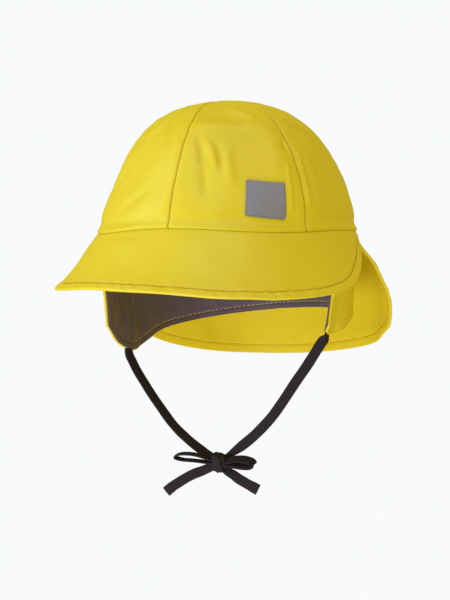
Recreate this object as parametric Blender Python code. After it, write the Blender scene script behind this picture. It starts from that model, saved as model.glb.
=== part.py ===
"""Child's rain hat: a six-panel crown, a stitched front brim, a long neck flap, and a lined
curtain with two ear flaps, whose flat ties are knotted in a bow.

Metres, +Z up. The front of the hat looks along -Y and the wearer's left is +X. The origin is
the centre of the head opening, in the plane of the seam between crown and brim.
Angles run round the head opening from the front centre (0) to the wearer's left (90 degrees).
"""

import math

import bpy
import numpy as np

# Head opening and crown
HEAD_LENGTH = 0.1784  # front to back, over the outside of the crown at its base
HEAD_WIDTH = 0.1542  # ear to ear, over the outside
CROWN_HEIGHT = 0.0795
CROWN_WALL = 0.0012
CROWN_FULLNESS = 2.63  # exponent across the dome: higher is squarer at the sides
CROWN_ROUNDNESS = 1.48  # exponent up the dome: lower is more conical
CROWN_APEX_FORWARD = 0.012  # where the six seams meet, ahead of the centre
CROWN_APEX_SIDE = 0.004  # and towards the wearer's right
CROWN_LEAN_BACK = 0.0026
PANEL_COUNT = 6
PANEL_FLATNESS = 0.035  # how far a panel's middle lies inside the round, as a share
PANEL_FLAT_FROM = 0.35  # share of the crown's height from which panels are at their flattest
DOME_UPRIGHT_BELOW = 0.02  # share of the crown's height under which its wall is upright
CROWN_LEAN_FROM = 0.5  # share of the crown's height from which it leans back all the way
SEAM_DIP = 0.0022  # the base seam is this much lower beside the forehead

# Front brim
BRIM_SLANT = 0.0485  # root to edge at the front, along the slope
BRIM_WALL = 0.0014
BRIM_SAG = 0.0018  # how far its slope lies under a straight line
BRIM_SAG_OUTWARDS = 1.4  # exponent that moves the deepest sag towards the edge

# Neck flap
NECK_DROP = 0.0812  # base seam to lower edge at the back
NECK_FLARE = 0.0222  # how far its edge stands out from the crown
NECK_FLARE_DEPTH = 0.0540  # height over which it swings out
NECK_SPREAD = 1.3  # exponent from root angle to edge angle: higher spreads nearer the edge
NECK_ROOT_SHARE = 0.08  # share of the swing over which it leaves the crown
NECK_WALL = 0.0012

# Curtain with ear flaps
CURTAIN_BACK_DROP = 0.0495
FLAP_DROP_LEFT = 0.0622
FLAP_DROP_RIGHT = 0.0750
CURTAIN_TUCK = 0.0020  # how far it runs up inside the crown
CURTAIN_BULGE = 0.0027
FLAP_LEAN_DEPTH = 2.6  # exponent down the flap: higher keeps the lean nearer the tip
FLAP_LEAN_LEFT = 0.0085  # how far a flap's tip is drawn in by its tie
FLAP_LEAN_RIGHT = 0.0092
SHELL_WALL = 0.0010
LINING_WALL = 0.0010
LINING_INSET = 0.0010  # width of yellow shell that shows past the lining
LINING_SIDE_INSET = 0.004  # the same at the curtain's ends, as a share of its length

# Reflective patch on the wearer's left front panel
PATCH_WIDTH = 0.0252
PATCH_HEIGHT = 0.0222
PATCH_WALL = 0.0010
PATCH_CORNER = 0.0014
PATCH_ANGLE = 41.4
PATCH_CENTRE_HEIGHT = 0.0170
PATCH_STAND = 0.975  # height gained for each metre up the panel

# Ties and bow
TIE_WIDTH = 0.0062
TIE_THICKNESS = 0.0014
GATHERED_SHARE = 0.52  # what is left of the tape's width where the knot grips it
GATHER_LENGTH = 0.0080
KNOT_WIDTH = 0.0130
KNOT_DEPTH = 0.0090
KNOT_HEIGHT = 0.0112
KNOT_SQUARENESS = 0.75  # exponent: 1 is round, lower is squarer

LOOP_TWIST = (0.10, 0.94, 0.28)  # across a loop's tape, for the wearer's left loop
TIE_FACE_LEFT = (0.35, -0.9, 0.2)  # where the broad faces of ties and tails look
TIE_FACE_RIGHT = (0.25, -0.9, 0.1)
TAIL_FACE = (0.3, -0.95, 0.1)

CLEARANCE = 0.0003  # between neighbouring pieces

# Columns and rows of each surface's mesh, and points along each tape
CROWN_GRID = (10, 13)
BRIM_GRID = (49, 8)
NECK_GRID = (41, 9)
CURTAIN_GRID = (56, 8)
PATCH_GRID = (9, 7)
KNOT_GRID = (12, 7)
TIE_POINTS = 26
LOOP_POINTS = 26
TAIL_POINTS = 12
CROWN_TOP_STOP = 0.004  # the panels' tips stop this short of their meeting point, as a share

# Brim edge: angle in degrees, share of BRIM_SLANT, slope below the horizontal in degrees
BRIM_EDGE = (
    (-105.0, 0.07, 72.0),
    (-100.0, 0.22, 69.5),
    (-90.0, 0.42, 65.5),
    (-80.0, 0.60, 61.5),
    (-70.0, 0.77, 57.0),
    (-58.0, 0.850, 53.0),
    (-44.0, 0.885, 49.5),
    (-28.0, 0.905, 47.5),
    (-12.0, 0.950, 47.0),
    (4.0, 0.985, 47.5),
    (20.0, 1.005, 49.0),
    (36.0, 0.99, 50.5),
    (50.0, 0.94, 52.0),
    (62.0, 0.865, 54.0),
    (72.0, 0.75, 57.5),
    (81.0, 0.59, 61.5),
    (90.0, 0.42, 65.5),
    (99.0, 0.24, 69.5),
    (105.0, 0.07, 72.0),
)

# Neck flap edge: angle at the root and at the edge, share of NECK_DROP, share of NECK_FLARE
NECK_EDGE = (
    (106.3, 112.0, 0.500, 1.00),
    (108.5, 113.4, 0.590, 1.00),
    (112.0, 116.0, 0.675, 1.00),
    (117.0, 120.0, 0.750, 1.01),
    (125.0, 127.0, 0.825, 1.02),
    (137.0, 138.0, 0.890, 1.03),
    (153.0, 153.0, 0.945, 1.05),
    (171.0, 171.0, 0.985, 1.08),
    (189.0, 189.0, 1.000, 1.08),
    (207.0, 207.0, 0.975, 1.05),
    (223.0, 222.0, 0.920, 1.03),
    (235.0, 233.0, 0.840, 1.02),
    (243.0, 240.0, 0.760, 1.01),
    (248.0, 244.0, 0.680, 1.00),
    (251.5, 246.6, 0.590, 1.00),
    (253.7, 248.0, 0.500, 1.00),
)

# Curtain edge: angle at the root and at the edge, share of CURTAIN_BACK_DROP, share of what
# the nearer ear flap adds to it, share of that flap's lean
CURTAIN_EDGE = (
    (81.0, 79.0, 0.900, 0.900, 0.55),
    (83.2, 79.9, 0.965, 0.965, 0.85),
    (86.0, 82.8, 1.000, 1.000, 1.00),
    (89.5, 87.6, 1.000, 0.980, 0.95),
    (94.5, 93.5, 1.000, 0.800, 0.70),
    (101.0, 100.5, 1.000, 0.480, 0.44),
    (110.0, 110.0, 1.000, 0.160, 0.33),
    (122.0, 122.0, 1.000, 0.030, 0.30),
    (138.0, 138.0, 0.990, 0.000, 0.30),
    (157.0, 157.0, 0.990, 0.000, 0.30),
    (177.0, 177.0, 1.010, 0.010, 0.28),
    (197.0, 197.0, 1.020, 0.090, 0.26),
    (215.0, 215.0, 1.020, 0.220, 0.28),
    (230.0, 230.0, 1.010, 0.380, 0.36),
    (242.0, 242.0, 1.000, 0.550, 0.56),
    (251.5, 251.0, 1.000, 0.730, 0.74),
    (259.0, 258.0, 1.000, 0.910, 0.94),
    (265.5, 264.0, 1.000, 1.000, 1.02),
    (271.5, 269.6, 0.990, 0.990, 0.94),
    (277.5, 275.0, 0.950, 0.950, 0.72),
    (283.0, 280.0, 0.890, 0.890, 0.50),
    (288.0, 284.0, 0.800, 0.800, 0.32),
)

# Soft folds of a sheet: angle in degrees, half width in degrees, depth inwards in metres
CURTAIN_FOLDS = (
    (86.0, 3.5, 0.0009),
    (95.0, 4.5, -0.0008),
    (252.0, 4.0, 0.0009),
    (259.0, 3.0, -0.0009),
    (267.0, 3.0, 0.0010),
    (275.0, 3.5, -0.0007),
)
NECK_FOLDS = (
    (127.0, 6.0, 0.0014),
    (143.0, 8.0, -0.0012),
    (166.0, 9.0, 0.0010),
    (192.0, 9.0, -0.0010),
    (214.0, 8.0, 0.0012),
    (233.0, 6.0, -0.0012),
)

# Dents of the crown: angle in degrees, share of its height, half widths of both, depth in metres
CROWN_DENTS = (
    (14.0, 0.40, 6.0, 0.22, 0.0010),
    (51.0, 0.50, 5.0, 0.30, -0.0008),
    (67.0, 0.48, 4.0, 0.22, -0.0006),
    (-26.0, 0.55, 10.0, 0.20, 0.0007),
    (-96.0, 0.42, 11.0, 0.20, 0.0008),
    (152.0, 0.50, 12.0, 0.22, 0.0008),
)

# Routes of the ties from the ear flaps' tips to the knot, points chosen by hand
TIE_ROUTE_LEFT = (
    (0.0675, -0.0115, -0.0624),
    (0.0639, -0.0119, -0.0677),
    (0.0604, -0.0123, -0.0733),
    (0.0569, -0.0127, -0.0788),
    (0.0532, -0.0131, -0.0843),
    (0.0494, -0.0135, -0.0897),
    (0.0457, -0.0139, -0.0953),
    (0.0421, -0.0143, -0.1008),
    (0.0383, -0.0147, -0.1063),
    (0.0343, -0.0151, -0.1117),
    (0.0299, -0.0155, -0.1167),
    (0.0252, -0.0159, -0.1215),
    (0.0202, -0.0163, -0.1260),
    (0.0149, -0.0167, -0.1302),
    (0.0100, -0.0170, -0.1338),
    (0.0075, -0.0171, -0.1356),
)
TIE_ROUTE_RIGHT = (
    (-0.0677, 0.0000, -0.0770),
    (-0.0648, -0.0012, -0.0818),
    (-0.0612, -0.0024, -0.0868),
    (-0.0574, -0.0036, -0.0916),
    (-0.0535, -0.0048, -0.0964),
    (-0.0495, -0.0060, -0.1011),
    (-0.0454, -0.0072, -0.1057),
    (-0.0412, -0.0084, -0.1102),
    (-0.0370, -0.0096, -0.1145),
    (-0.0326, -0.0108, -0.1188),
    (-0.0280, -0.0120, -0.1228),
    (-0.0230, -0.0132, -0.1264),
    (-0.0177, -0.0144, -0.1297),
    (-0.0124, -0.0156, -0.1327),
    (-0.0075, -0.0165, -0.1351),
    (-0.0030, -0.0171, -0.1369),
)
KNOT_CENTRE = (0.0026, -0.0205, -0.1398)

# Bow loops: distance from the knot's centre and height over it, as shares of the loop's reach
LOOP_REACH_LEFT = 0.0229
LOOP_REACH_RIGHT = 0.0281
LOOP_FORWARD = 0.0020  # the loops lie in front of the ties
LOOP_ROUTE_LEFT = (
    (0.31, 0.13),
    (0.50, 0.19),
    (0.72, 0.20),
    (0.92, 0.13),
    (1.00, 0.02),
    (0.92, -0.07),
    (0.73, -0.09),
    (0.52, -0.06),
    (0.31, -0.02),
)
LOOP_ROUTE_RIGHT = (
    (0.26, 0.11),
    (0.44, 0.17),
    (0.65, 0.20),
    (0.86, 0.19),
    (0.98, 0.14),
    (0.98, 0.08),
    (0.84, 0.04),
    (0.63, 0.03),
    (0.44, 0.02),
    (0.26, 0.00),
)

# Bow tails: points from the knot to the hemmed end, chosen by hand
TAIL_ROUTE_LEFT = (
    (0.0074, -0.0191, -0.1450),
    (0.0114, -0.0196, -0.1470),
    (0.0150, -0.0204, -0.1490),
    (0.0198, -0.0213, -0.1511),
    (0.0245, -0.0220, -0.1531),
    (0.0284, -0.0225, -0.1547),
)
TAIL_ROUTE_RIGHT = (
    (-0.0034, -0.0190, -0.1430),
    (-0.0090, -0.0195, -0.1450),
    (-0.0136, -0.0205, -0.1466),
    (-0.0182, -0.0214, -0.1490),
    (-0.0228, -0.0222, -0.1519),
    (-0.0272, -0.0229, -0.1551),
    (-0.0312, -0.0235, -0.1587),
)

YELLOW = (0.72, 0.58, 0.02)
LINING_GREY = (0.060, 0.046, 0.042)
PATCH_GREY = (0.26, 0.25, 0.26)
TIE_BLACK = (0.022, 0.019, 0.021)


def clear_scene():
    for thing in list(bpy.data.objects):
        bpy.data.objects.remove(thing, do_unlink=True)


def material(name, colour, roughness, metallic=0.0):
    made = bpy.data.materials.new(name)
    made.use_nodes = True
    shader = made.node_tree.nodes["Principled BSDF"]
    shader.inputs["Base Color"].default_value = (*colour, 1.0)
    shader.inputs["Roughness"].default_value = roughness
    shader.inputs["Metallic"].default_value = metallic
    return made


def unit(vectors):
    return vectors / np.linalg.norm(vectors, axis=-1, keepdims=True)


def spline(rows, places):
    """Catmull-Rom curve through the rows of a table, at places from 0 (first) to 1 (last)."""
    table = np.asarray(rows, float)
    table = np.vstack([2 * table[0] - table[1], table, 2 * table[-1] - table[-2]])
    along = np.clip(np.asarray(places, float), 0.0, 1.0) * (len(rows) - 1)
    first = np.minimum(along.astype(int), len(rows) - 2)
    f = (along - first)[..., None]
    p0, p1, p2, p3 = (table[first + k] for k in range(4))
    return 0.5 * (
        2 * p1 + (p2 - p0) * f + (2 * p0 - 5 * p1 + 4 * p2 - p3) * f**2 + (3 * p1 - p0 - 3 * p2 + p3) * f**3
    )


def rim(angle):
    """Point of the head opening's ellipse, on the outside of the crown."""
    return np.stack([HEAD_WIDTH / 2 * np.sin(angle), -HEAD_LENGTH / 2 * np.cos(angle)], -1)


def rim_outward(angle):
    return unit(np.stack([np.sin(angle) * HEAD_LENGTH, -np.cos(angle) * HEAD_WIDTH], -1))


def seam_height(angle):
    """The base seam dips on both sides of the forehead and is level from ear to ear behind."""
    return np.where(np.cos(angle) > 0, -SEAM_DIP * np.sin(2 * angle) ** 2, 0.0)


def hung_point(angle, out, drop):
    """Point at a distance out from the base seam and a drop below it."""
    plan = rim(angle) + rim_outward(angle) * out[..., None]
    return np.concatenate([plan, (seam_height(angle) - drop)[..., None]], -1)


def offset_inward(surface, u, v, distance):
    """Points of surface(u, v) moved to its under side, along the normal found by small steps."""
    step = 1e-4
    along = surface(u + step, v) - surface(u - step, v)
    down = surface(u, v + step) - surface(u, v - step)
    return surface(u, v) + unit(np.cross(along, down)) * distance


def mesh_object(name, vertices, faces, finish, smooth=True):
    mesh = bpy.data.meshes.new(name)
    mesh.from_pydata([tuple(v) for v in vertices], [], faces)
    mesh.validate()
    made = bpy.data.objects.new(name, mesh)
    bpy.context.scene.collection.objects.link(made)
    mesh.materials.append(finish)
    if smooth:
        mesh.shade_smooth()
        mesh.set_sharp_from_angle(angle=math.radians(40))
    return made


def walled_sheet(name, outer, inner, finish):
    """Closed solid between two grids of points: both faces and the four edges."""
    rows, columns = outer.shape[:2]
    inner_start = rows * columns
    vertices = np.vstack([outer.reshape(-1, 3), inner.reshape(-1, 3)])
    faces = []
    for i in range(rows - 1):
        for j in range(columns - 1):
            a = i * columns + j
            b, c, d = a + 1, a + columns + 1, a + columns
            faces.append((a, b, c, d))
            faces.append((inner_start + d, inner_start + c, inner_start + b, inner_start + a))
    border = [i * columns for i in range(rows)]
    border += [(rows - 1) * columns + j for j in range(1, columns)]
    border += [i * columns + columns - 1 for i in range(rows - 2, -1, -1)]
    border += list(range(columns - 2, 0, -1))
    for a, b in zip(border, border[1:] + border[:1]):
        faces.append((a, b, inner_start + b, inner_start + a))
    return facing_out(mesh_object(name, vertices, faces, finish))


def facing_out(made):
    """Turns a closed mesh's faces outwards where its signed volume is negative."""
    mesh = made.data
    mesh.calc_loop_triangles()
    points = np.array([v.co for v in mesh.vertices])
    corners = points[np.array([t.vertices for t in mesh.loop_triangles])]
    volume = np.einsum("ij,ij->i", corners[:, 0], np.cross(corners[:, 1], corners[:, 2])).sum()
    if volume < 0:
        mesh.flip_normals()
    return made


def dome_height(plan):
    """Height of the dome over a point of its plan, from how far out in the ellipse it is."""
    spread = np.hypot(plan[..., 0] / (HEAD_WIDTH / 2), plan[..., 1] / (HEAD_LENGTH / 2))
    return CROWN_HEIGHT * np.clip(1 - spread**CROWN_FULLNESS, 0, 1) ** (1 / CROWN_ROUNDNESS)


def fold_depth(folds, angle):
    """Sum of the folds at an angle in degrees, each a smooth hump."""
    return sum(depth * np.exp(-(((angle - middle) / width) ** 2)) for middle, width, depth in folds)


def dome_outward(plan, rise):
    """Outward direction of the dome, from the slopes of the formula in dome_height."""
    half = np.array([HEAD_WIDTH / 2, HEAD_LENGTH / 2])
    spread = np.linalg.norm(plan / half, axis=-1)[..., None] + 1e-9
    level = CROWN_FULLNESS * spread ** (CROWN_FULLNESS - 2) * plan / half**2
    steep = CROWN_ROUNDNESS * (rise + 1e-4) ** (CROWN_ROUNDNESS - 1) / CROWN_HEIGHT
    steep = steep * np.minimum(rise / DOME_UPRIGHT_BELOW, 1)
    return unit(np.concatenate([level, steep[..., None]], -1))


def dent_depth(angle, rise):
    """Sum of the crown's dents, each a smooth hollow across and up."""
    turn = (np.degrees(angle) + 180) % 360 - 180
    return sum(
        depth * np.exp(-(((turn - middle) / width) ** 2) - ((rise - level) / tall) ** 2)
        for middle, level, width, tall, depth in CROWN_DENTS
    )


def eased(share):
    """Rises from 0 to 1 as share does, and then stays."""
    return np.sin(np.minimum(share, 1) * math.pi / 2)


def crown_point(angle, reach, inset=0.0):
    """Point of the crown: reach runs from 1 at the base to 0 where the seams meet."""
    apex = np.array([-CROWN_APEX_SIDE, -CROWN_APEX_FORWARD])
    plan = rim(angle) * reach[..., None] + apex * ((1 - reach) ** 2)[..., None]
    height = dome_height(plan)
    rise = height / CROWN_HEIGHT
    flat = PANEL_FLATNESS * np.sin(PANEL_COUNT / 2 * angle) ** 2 * eased(rise / PANEL_FLAT_FROM)
    base = (height + seam_height(angle) * (1 - rise))[..., None]
    point = np.concatenate([plan * (1 - flat)[..., None], base], -1)
    point = point - dome_outward(plan, rise) * (inset + dent_depth(angle, rise))[..., None]
    point[..., 1] += CROWN_LEAN_BACK * eased(rise / CROWN_LEAN_FROM)
    point[..., 2] += CLEARANCE / 2
    return point


def crown_panel(number, name, finish):
    """One panel of the crown, between two seams."""
    columns, rows = CROWN_GRID
    half_turn = math.pi / PANEL_COUNT
    middle = (2 * number + 1) * half_turn
    reach = np.sin(np.linspace(1, CROWN_TOP_STOP, rows) * math.pi / 2)[:, None]
    across = np.linspace(-1, 1, columns)[None, :]
    gap_angle = np.arcsin(CLEARANCE / (reach * HEAD_WIDTH))
    angle = middle + across * (half_turn - gap_angle)
    reach = np.broadcast_to(reach, angle.shape)
    return walled_sheet(name, crown_point(angle, reach), crown_point(angle, reach, CROWN_WALL), finish)


def brim_surface(u, v):
    """u runs along the edge from the wearer's right to the left, v from root to edge."""
    edge = spline(BRIM_EDGE, u)
    angle, slope = np.radians(edge[..., 0]), np.radians(edge[..., 2])
    slant = edge[..., 1] * BRIM_SLANT
    sag = BRIM_SAG * np.sin(math.pi * np.clip(v, 0, 1) ** BRIM_SAG_OUTWARDS) * edge[..., 1] ** 2
    out = slant * v * np.cos(slope) - sag * np.sin(slope)
    drop = slant * v * np.sin(slope) + sag * np.cos(slope)
    return hung_point(angle, out, drop + CLEARANCE / 2)


def neck_surface(u, v):
    """u runs from the wearer's left round the back to the right, v from root to edge."""
    root, edge, drop_share, flare_share = np.moveaxis(spline(NECK_EDGE, u), -1, 0)
    below = np.clip(v, 0, None)
    drop = drop_share * NECK_DROP * v
    swing = np.clip(drop / NECK_FLARE_DEPTH, 0, 1)
    out = NECK_FLARE * flare_share * (1 - (1 - swing) ** 2) * np.minimum(swing / NECK_ROOT_SHARE, 1)
    angle = root + (edge - root) * below**NECK_SPREAD
    out = out - fold_depth(NECK_FOLDS, angle) * below**2
    return hung_point(np.radians(angle), out, drop + CLEARANCE / 2)


def curtain_surface(u, v):
    """u runs from the wearer's left ear round the back to the right ear, v downwards."""
    root, edge, back_share, flap_share, lean_share = np.moveaxis(spline(CURTAIN_EDGE, u), -1, 0)
    on_left = root < 180
    flap = np.where(on_left, FLAP_DROP_LEFT, FLAP_DROP_RIGHT)
    lean = np.where(on_left, FLAP_LEAN_LEFT, FLAP_LEAN_RIGHT) * lean_share
    depth = CURTAIN_BACK_DROP * back_share + (flap - CURTAIN_BACK_DROP) * flap_share
    drop = depth * v - CURTAIN_TUCK * (1 - v)
    below = np.clip(v, 0, None)
    out = CURTAIN_BULGE * below**2 - lean * below**FLAP_LEAN_DEPTH - (BRIM_WALL + 2 * CLEARANCE)
    angle = root + (edge - root) * below**2
    out = out - fold_depth(CURTAIN_FOLDS, angle) * below**2
    return hung_point(np.radians(angle), out, drop)


def sheet_from(name, surface, grid, top, wall, finish, side_trim=0.0, edge_trim=0.0):
    """Wall whose upper face lies top under a surface, cut back by shares at its sides and edge."""
    columns, rows = grid
    u, v = np.meshgrid(np.linspace(side_trim, 1 - side_trim, columns), np.linspace(0, 1 - edge_trim, rows))
    outer = offset_inward(surface, u, v, top)
    inner = offset_inward(surface, u, v, top + wall)
    return walled_sheet(name, outer, inner, finish)


def patch_piece(finish):
    """Rectangle with cut corners that follows the front panel, one clearance above it."""
    columns, rows = PATCH_GRID
    across, up = np.meshgrid(np.linspace(-1, 1, columns), np.linspace(-1, 1, rows))
    at_corner = (np.abs(across) == 1) & (np.abs(up) == 1)
    cut = (1 - math.sqrt(0.5)) * PATCH_CORNER
    x = across * (PATCH_WIDTH / 2 - np.where(at_corner, cut, 0))
    z = up * (PATCH_HEIGHT / 2 - np.where(at_corner, cut, 0))
    rise = (PATCH_CENTRE_HEIGHT + z * PATCH_STAND) / CROWN_HEIGHT
    reach = (1 - rise**CROWN_ROUNDNESS) ** (1 / CROWN_FULLNESS)
    middle = math.radians(PATCH_ANGLE)
    arc = math.hypot(HEAD_WIDTH / 2 * math.cos(middle), HEAD_LENGTH / 2 * math.sin(middle))
    angle = middle + x / arc
    outer = crown_point(angle, reach, -(CLEARANCE + PATCH_WALL))
    inner = crown_point(angle, reach, -CLEARANCE)
    return walled_sheet("reflective_patch", outer, inner, finish)


def tape(name, centre, side, width, finish):
    """Flat tape swept along centre, six-cornered; side points across it, width is per point."""
    along = unit(np.gradient(centre, axis=0))
    side = unit(side - along * (side * along).sum(-1, keepdims=True))
    lift = np.cross(side, along)
    section = ((-0.5, 0.0), (-0.38, 0.5), (0.38, 0.5), (0.5, 0.0), (0.38, -0.5), (-0.38, -0.5))
    lines = [centre + side * width[:, None] * a + lift * TIE_THICKNESS * b for a, b in section]
    vertices = np.stack(lines, 1).reshape(-1, 3)
    corners, last = len(section), (len(centre) - 1) * len(section)
    faces = [tuple(reversed(range(corners))), tuple(range(last, last + corners))]
    for start in range(0, last, corners):
        for k in range(corners):
            a, b = start + k, start + (k + 1) % corners
            faces.append((a, b, b + corners, a + corners))
    return facing_out(mesh_object(name, vertices, faces, finish, smooth=False))


def hanging_tape(name, route, face_towards, knot_end, samples, finish):
    """Tie or tail: its broad face looks face_towards, and it narrows where the knot grips it."""
    centre = spline(route, np.linspace(0, 1, samples))
    side = np.cross(np.gradient(centre, axis=0), np.array(face_towards))
    from_knot = np.linalg.norm(centre - centre[knot_end], axis=1)
    grip = 1 - np.clip(from_knot / GATHER_LENGTH, 0, 1)
    width = TIE_WIDTH * (1 - (1 - GATHERED_SHARE) * grip * grip * (3 - 2 * grip))
    return tape(name, centre, side, width, finish)


def bow_loop(name, direction, reach, shape, finish):
    """Teardrop of tape that leaves the knot's side and comes back to it."""
    out, up = spline(shape, np.linspace(0, 1, LOOP_POINTS)).T * reach
    centre = np.array(KNOT_CENTRE) + np.stack([direction * out, out * 0 - LOOP_FORWARD, up], -1)
    side = np.broadcast_to(np.array(LOOP_TWIST) * (direction, 1, 1), centre.shape)
    return tape(name, centre, side, np.full(LOOP_POINTS, TIE_WIDTH), finish)


def squared(value):
    """Squares off a sine or cosine, so that a circle bulges towards its corners."""
    return np.sign(value) * np.abs(value) ** KNOT_SQUARENESS


def knot(finish):
    """Squarish bundle: an ellipsoid squared off in front view."""
    turns, levels = KNOT_GRID
    around = np.linspace(0, 2 * math.pi, turns, endpoint=False)
    level = np.linspace(-math.pi / 2, math.pi / 2, levels)[1:-1, None]
    x = squared(np.cos(around)) * squared(np.cos(level)) * KNOT_WIDTH / 2
    y = squared(np.sin(around)) * squared(np.cos(level)) * KNOT_DEPTH / 2
    z = np.broadcast_to(squared(np.sin(level)) * KNOT_HEIGHT / 2, x.shape)
    rings = np.stack([x, y, z], -1).reshape(-1, 3)
    foot, head = (0.0, 0.0, -KNOT_HEIGHT / 2), (0.0, 0.0, KNOT_HEIGHT / 2)
    vertices = np.vstack([foot, rings, head]) + np.array(KNOT_CENTRE)
    last = len(vertices) - 1
    faces = []
    for k in range(turns):
        n = (k + 1) % turns
        faces.append((0, 1 + n, 1 + k))
        faces.append((last, last - turns + k, last - turns + n))
        for start in range(1, last - turns, turns):
            faces.append((start + k, start + n, start + turns + n, start + turns + k))
    return facing_out(mesh_object("bow_knot", vertices, faces, finish))


def build():
    clear_scene()
    yellow = material("coated_fabric_yellow", YELLOW, 0.42)
    grey = material("lining_dark_grey", LINING_GREY, 0.75)
    silver = material("reflective_film", PATCH_GREY, 0.45, 0.3)
    black = material("tie_fabric_black", TIE_BLACK, 0.8)

    panels = ("front_left", "side_left", "back_left", "back_right", "side_right", "front_right")
    for number, place in enumerate(panels):
        crown_panel(number, "crown_panel_" + place, yellow)
    sheet_from("brim", brim_surface, BRIM_GRID, 0.0, BRIM_WALL, yellow)
    sheet_from("neck_flap", neck_surface, NECK_GRID, 0.0, NECK_WALL, yellow)
    sheet_from("curtain_shell", curtain_surface, CURTAIN_GRID, 0.0, SHELL_WALL, yellow)
    sheet_from(
        "curtain_lining",
        curtain_surface,
        CURTAIN_GRID,
        SHELL_WALL + CLEARANCE,
        LINING_WALL,
        grey,
        side_trim=LINING_SIDE_INSET,
        edge_trim=LINING_INSET / CURTAIN_BACK_DROP,
    )
    patch_piece(silver)
    hanging_tape("tie_left", TIE_ROUTE_LEFT, TIE_FACE_LEFT, -1, TIE_POINTS, black)
    hanging_tape("tie_right", TIE_ROUTE_RIGHT, TIE_FACE_RIGHT, -1, TIE_POINTS, black)
    knot(black)
    bow_loop("bow_loop_left", 1, LOOP_REACH_LEFT, LOOP_ROUTE_LEFT, black)
    bow_loop("bow_loop_right", -1, LOOP_REACH_RIGHT, LOOP_ROUTE_RIGHT, black)
    hanging_tape("bow_tail_left", TAIL_ROUTE_LEFT, TAIL_FACE, 0, TAIL_POINTS, black)
    hanging_tape("bow_tail_right", TAIL_ROUTE_RIGHT, TAIL_FACE, 0, TAIL_POINTS, black)


build()
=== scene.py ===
"""Child's rain hat: coated cloth, lining, stitching, ties and a plain studio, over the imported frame.

Metres, in the frame's own axes: the front of the hat looks along -Y, the wearer's left is +X and
+Z is up. Angles run round the head opening from the front centre to the wearer's left. The cloth
pieces are surfaces of two parameters with the formulas and sizes of the solids that they replace,
on finer grids, with hems, seams, puckers and creases added. The patch, the knot, the loops and the
root of the neck flap differ from their solids by a few millimetres at most, to sit nearer to the
photograph. What differs from piece to piece stands in the tables and named values at the top.
"""

import math

import bpy
import numpy as np
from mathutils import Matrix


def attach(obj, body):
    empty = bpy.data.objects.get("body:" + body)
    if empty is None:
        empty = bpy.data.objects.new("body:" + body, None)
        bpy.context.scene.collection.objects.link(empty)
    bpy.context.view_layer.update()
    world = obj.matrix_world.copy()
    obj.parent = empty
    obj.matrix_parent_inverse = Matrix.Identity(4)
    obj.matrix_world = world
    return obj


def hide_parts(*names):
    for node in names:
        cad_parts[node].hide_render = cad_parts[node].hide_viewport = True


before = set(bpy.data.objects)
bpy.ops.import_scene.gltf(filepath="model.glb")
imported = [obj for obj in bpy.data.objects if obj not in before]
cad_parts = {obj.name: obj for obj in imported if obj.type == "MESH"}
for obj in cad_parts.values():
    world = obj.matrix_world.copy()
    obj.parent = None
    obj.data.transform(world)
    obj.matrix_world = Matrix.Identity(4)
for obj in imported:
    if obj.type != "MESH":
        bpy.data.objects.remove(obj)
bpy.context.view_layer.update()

bl_info = {
    "name": "Child's rain hat",
    "version": (1, 0, 0),
    "blender": (4, 5, 0),
    "location": "3D View > Sidebar > Rain hat",
    "description": "Cloth, stitching, ties and a plain studio for the packed rain hat",
    "category": "Object",
}

BODY = "root"
LEAST_FILLED = 0.301  # least share of its flat rectangle that a declared sheet may fill

# Head opening and crown, as in the part's source
HEAD_LENGTH = 0.1784
HEAD_WIDTH = 0.1542
CROWN_HEIGHT = 0.0795
CROWN_WALL = 0.0012
CROWN_FULLNESS = 2.63
CROWN_ROUNDNESS = 1.48
CROWN_APEX_FORWARD = 0.012
CROWN_APEX_SIDE = 0.004
PANEL_COUNT = 6
PANEL_FLATNESS = 0.035
PANEL_FLAT_FROM = 0.35
DOME_UPRIGHT_BELOW = 0.02
CROWN_LEAN_FROM = 0.5
CROWN_LEAN_BACK = 0.0026
SEAM_DIP = 0.0022

# Front brim
BRIM_SLANT = 0.0485
BRIM_WALL = 0.0014
BRIM_SAG = 0.0018
BRIM_SAG_OUTWARDS = 1.4

# Neck flap
NECK_DROP = 0.0812
NECK_FLARE = 0.0222
NECK_FLARE_DEPTH = 0.0540
NECK_SPREAD = 1.3
NECK_ROOT_SHARE = 0.08
NECK_WALL = 0.0012

# Where the neck flap stands out less: share taken away, depth below the seam and half width in metres
NECK_DRAWN_IN = ((0.7, 0.0040, 0.0080), (0.12, 0.021, 0.013))

# Curtain with ear flaps
CURTAIN_BACK_DROP = 0.0495
FLAP_DROP_LEFT = 0.0622
FLAP_DROP_RIGHT = 0.0750
CURTAIN_TUCK = 0.0020
CURTAIN_BULGE = 0.0027
FLAP_LEAN_DEPTH = 2.6
FLAP_LEAN_LEFT = 0.0085
FLAP_LEAN_RIGHT = 0.0092
SHELL_WALL = 0.0010
LINING_WALL = 0.0010
LINING_INSET = 0.00040
LINING_SIDE_INSET = 0.004
LINING_STITCHES = (0.09, 0.80)  # shares along the edge, from the left ear flap's tip to the right one's

# Reflective patch
PATCH_WIDTH = 0.0257
PATCH_HEIGHT = 0.0208
PATCH_CORNER = 0.0014
PATCH_EDGE = 0.0008
PATCH_ANGLE = 41.4
PATCH_CENTRE_HEIGHT = 0.0176
PATCH_STAND = 0.975
PATCH_TURN = 3.5  # degrees clockwise, as seen from the front

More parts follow.
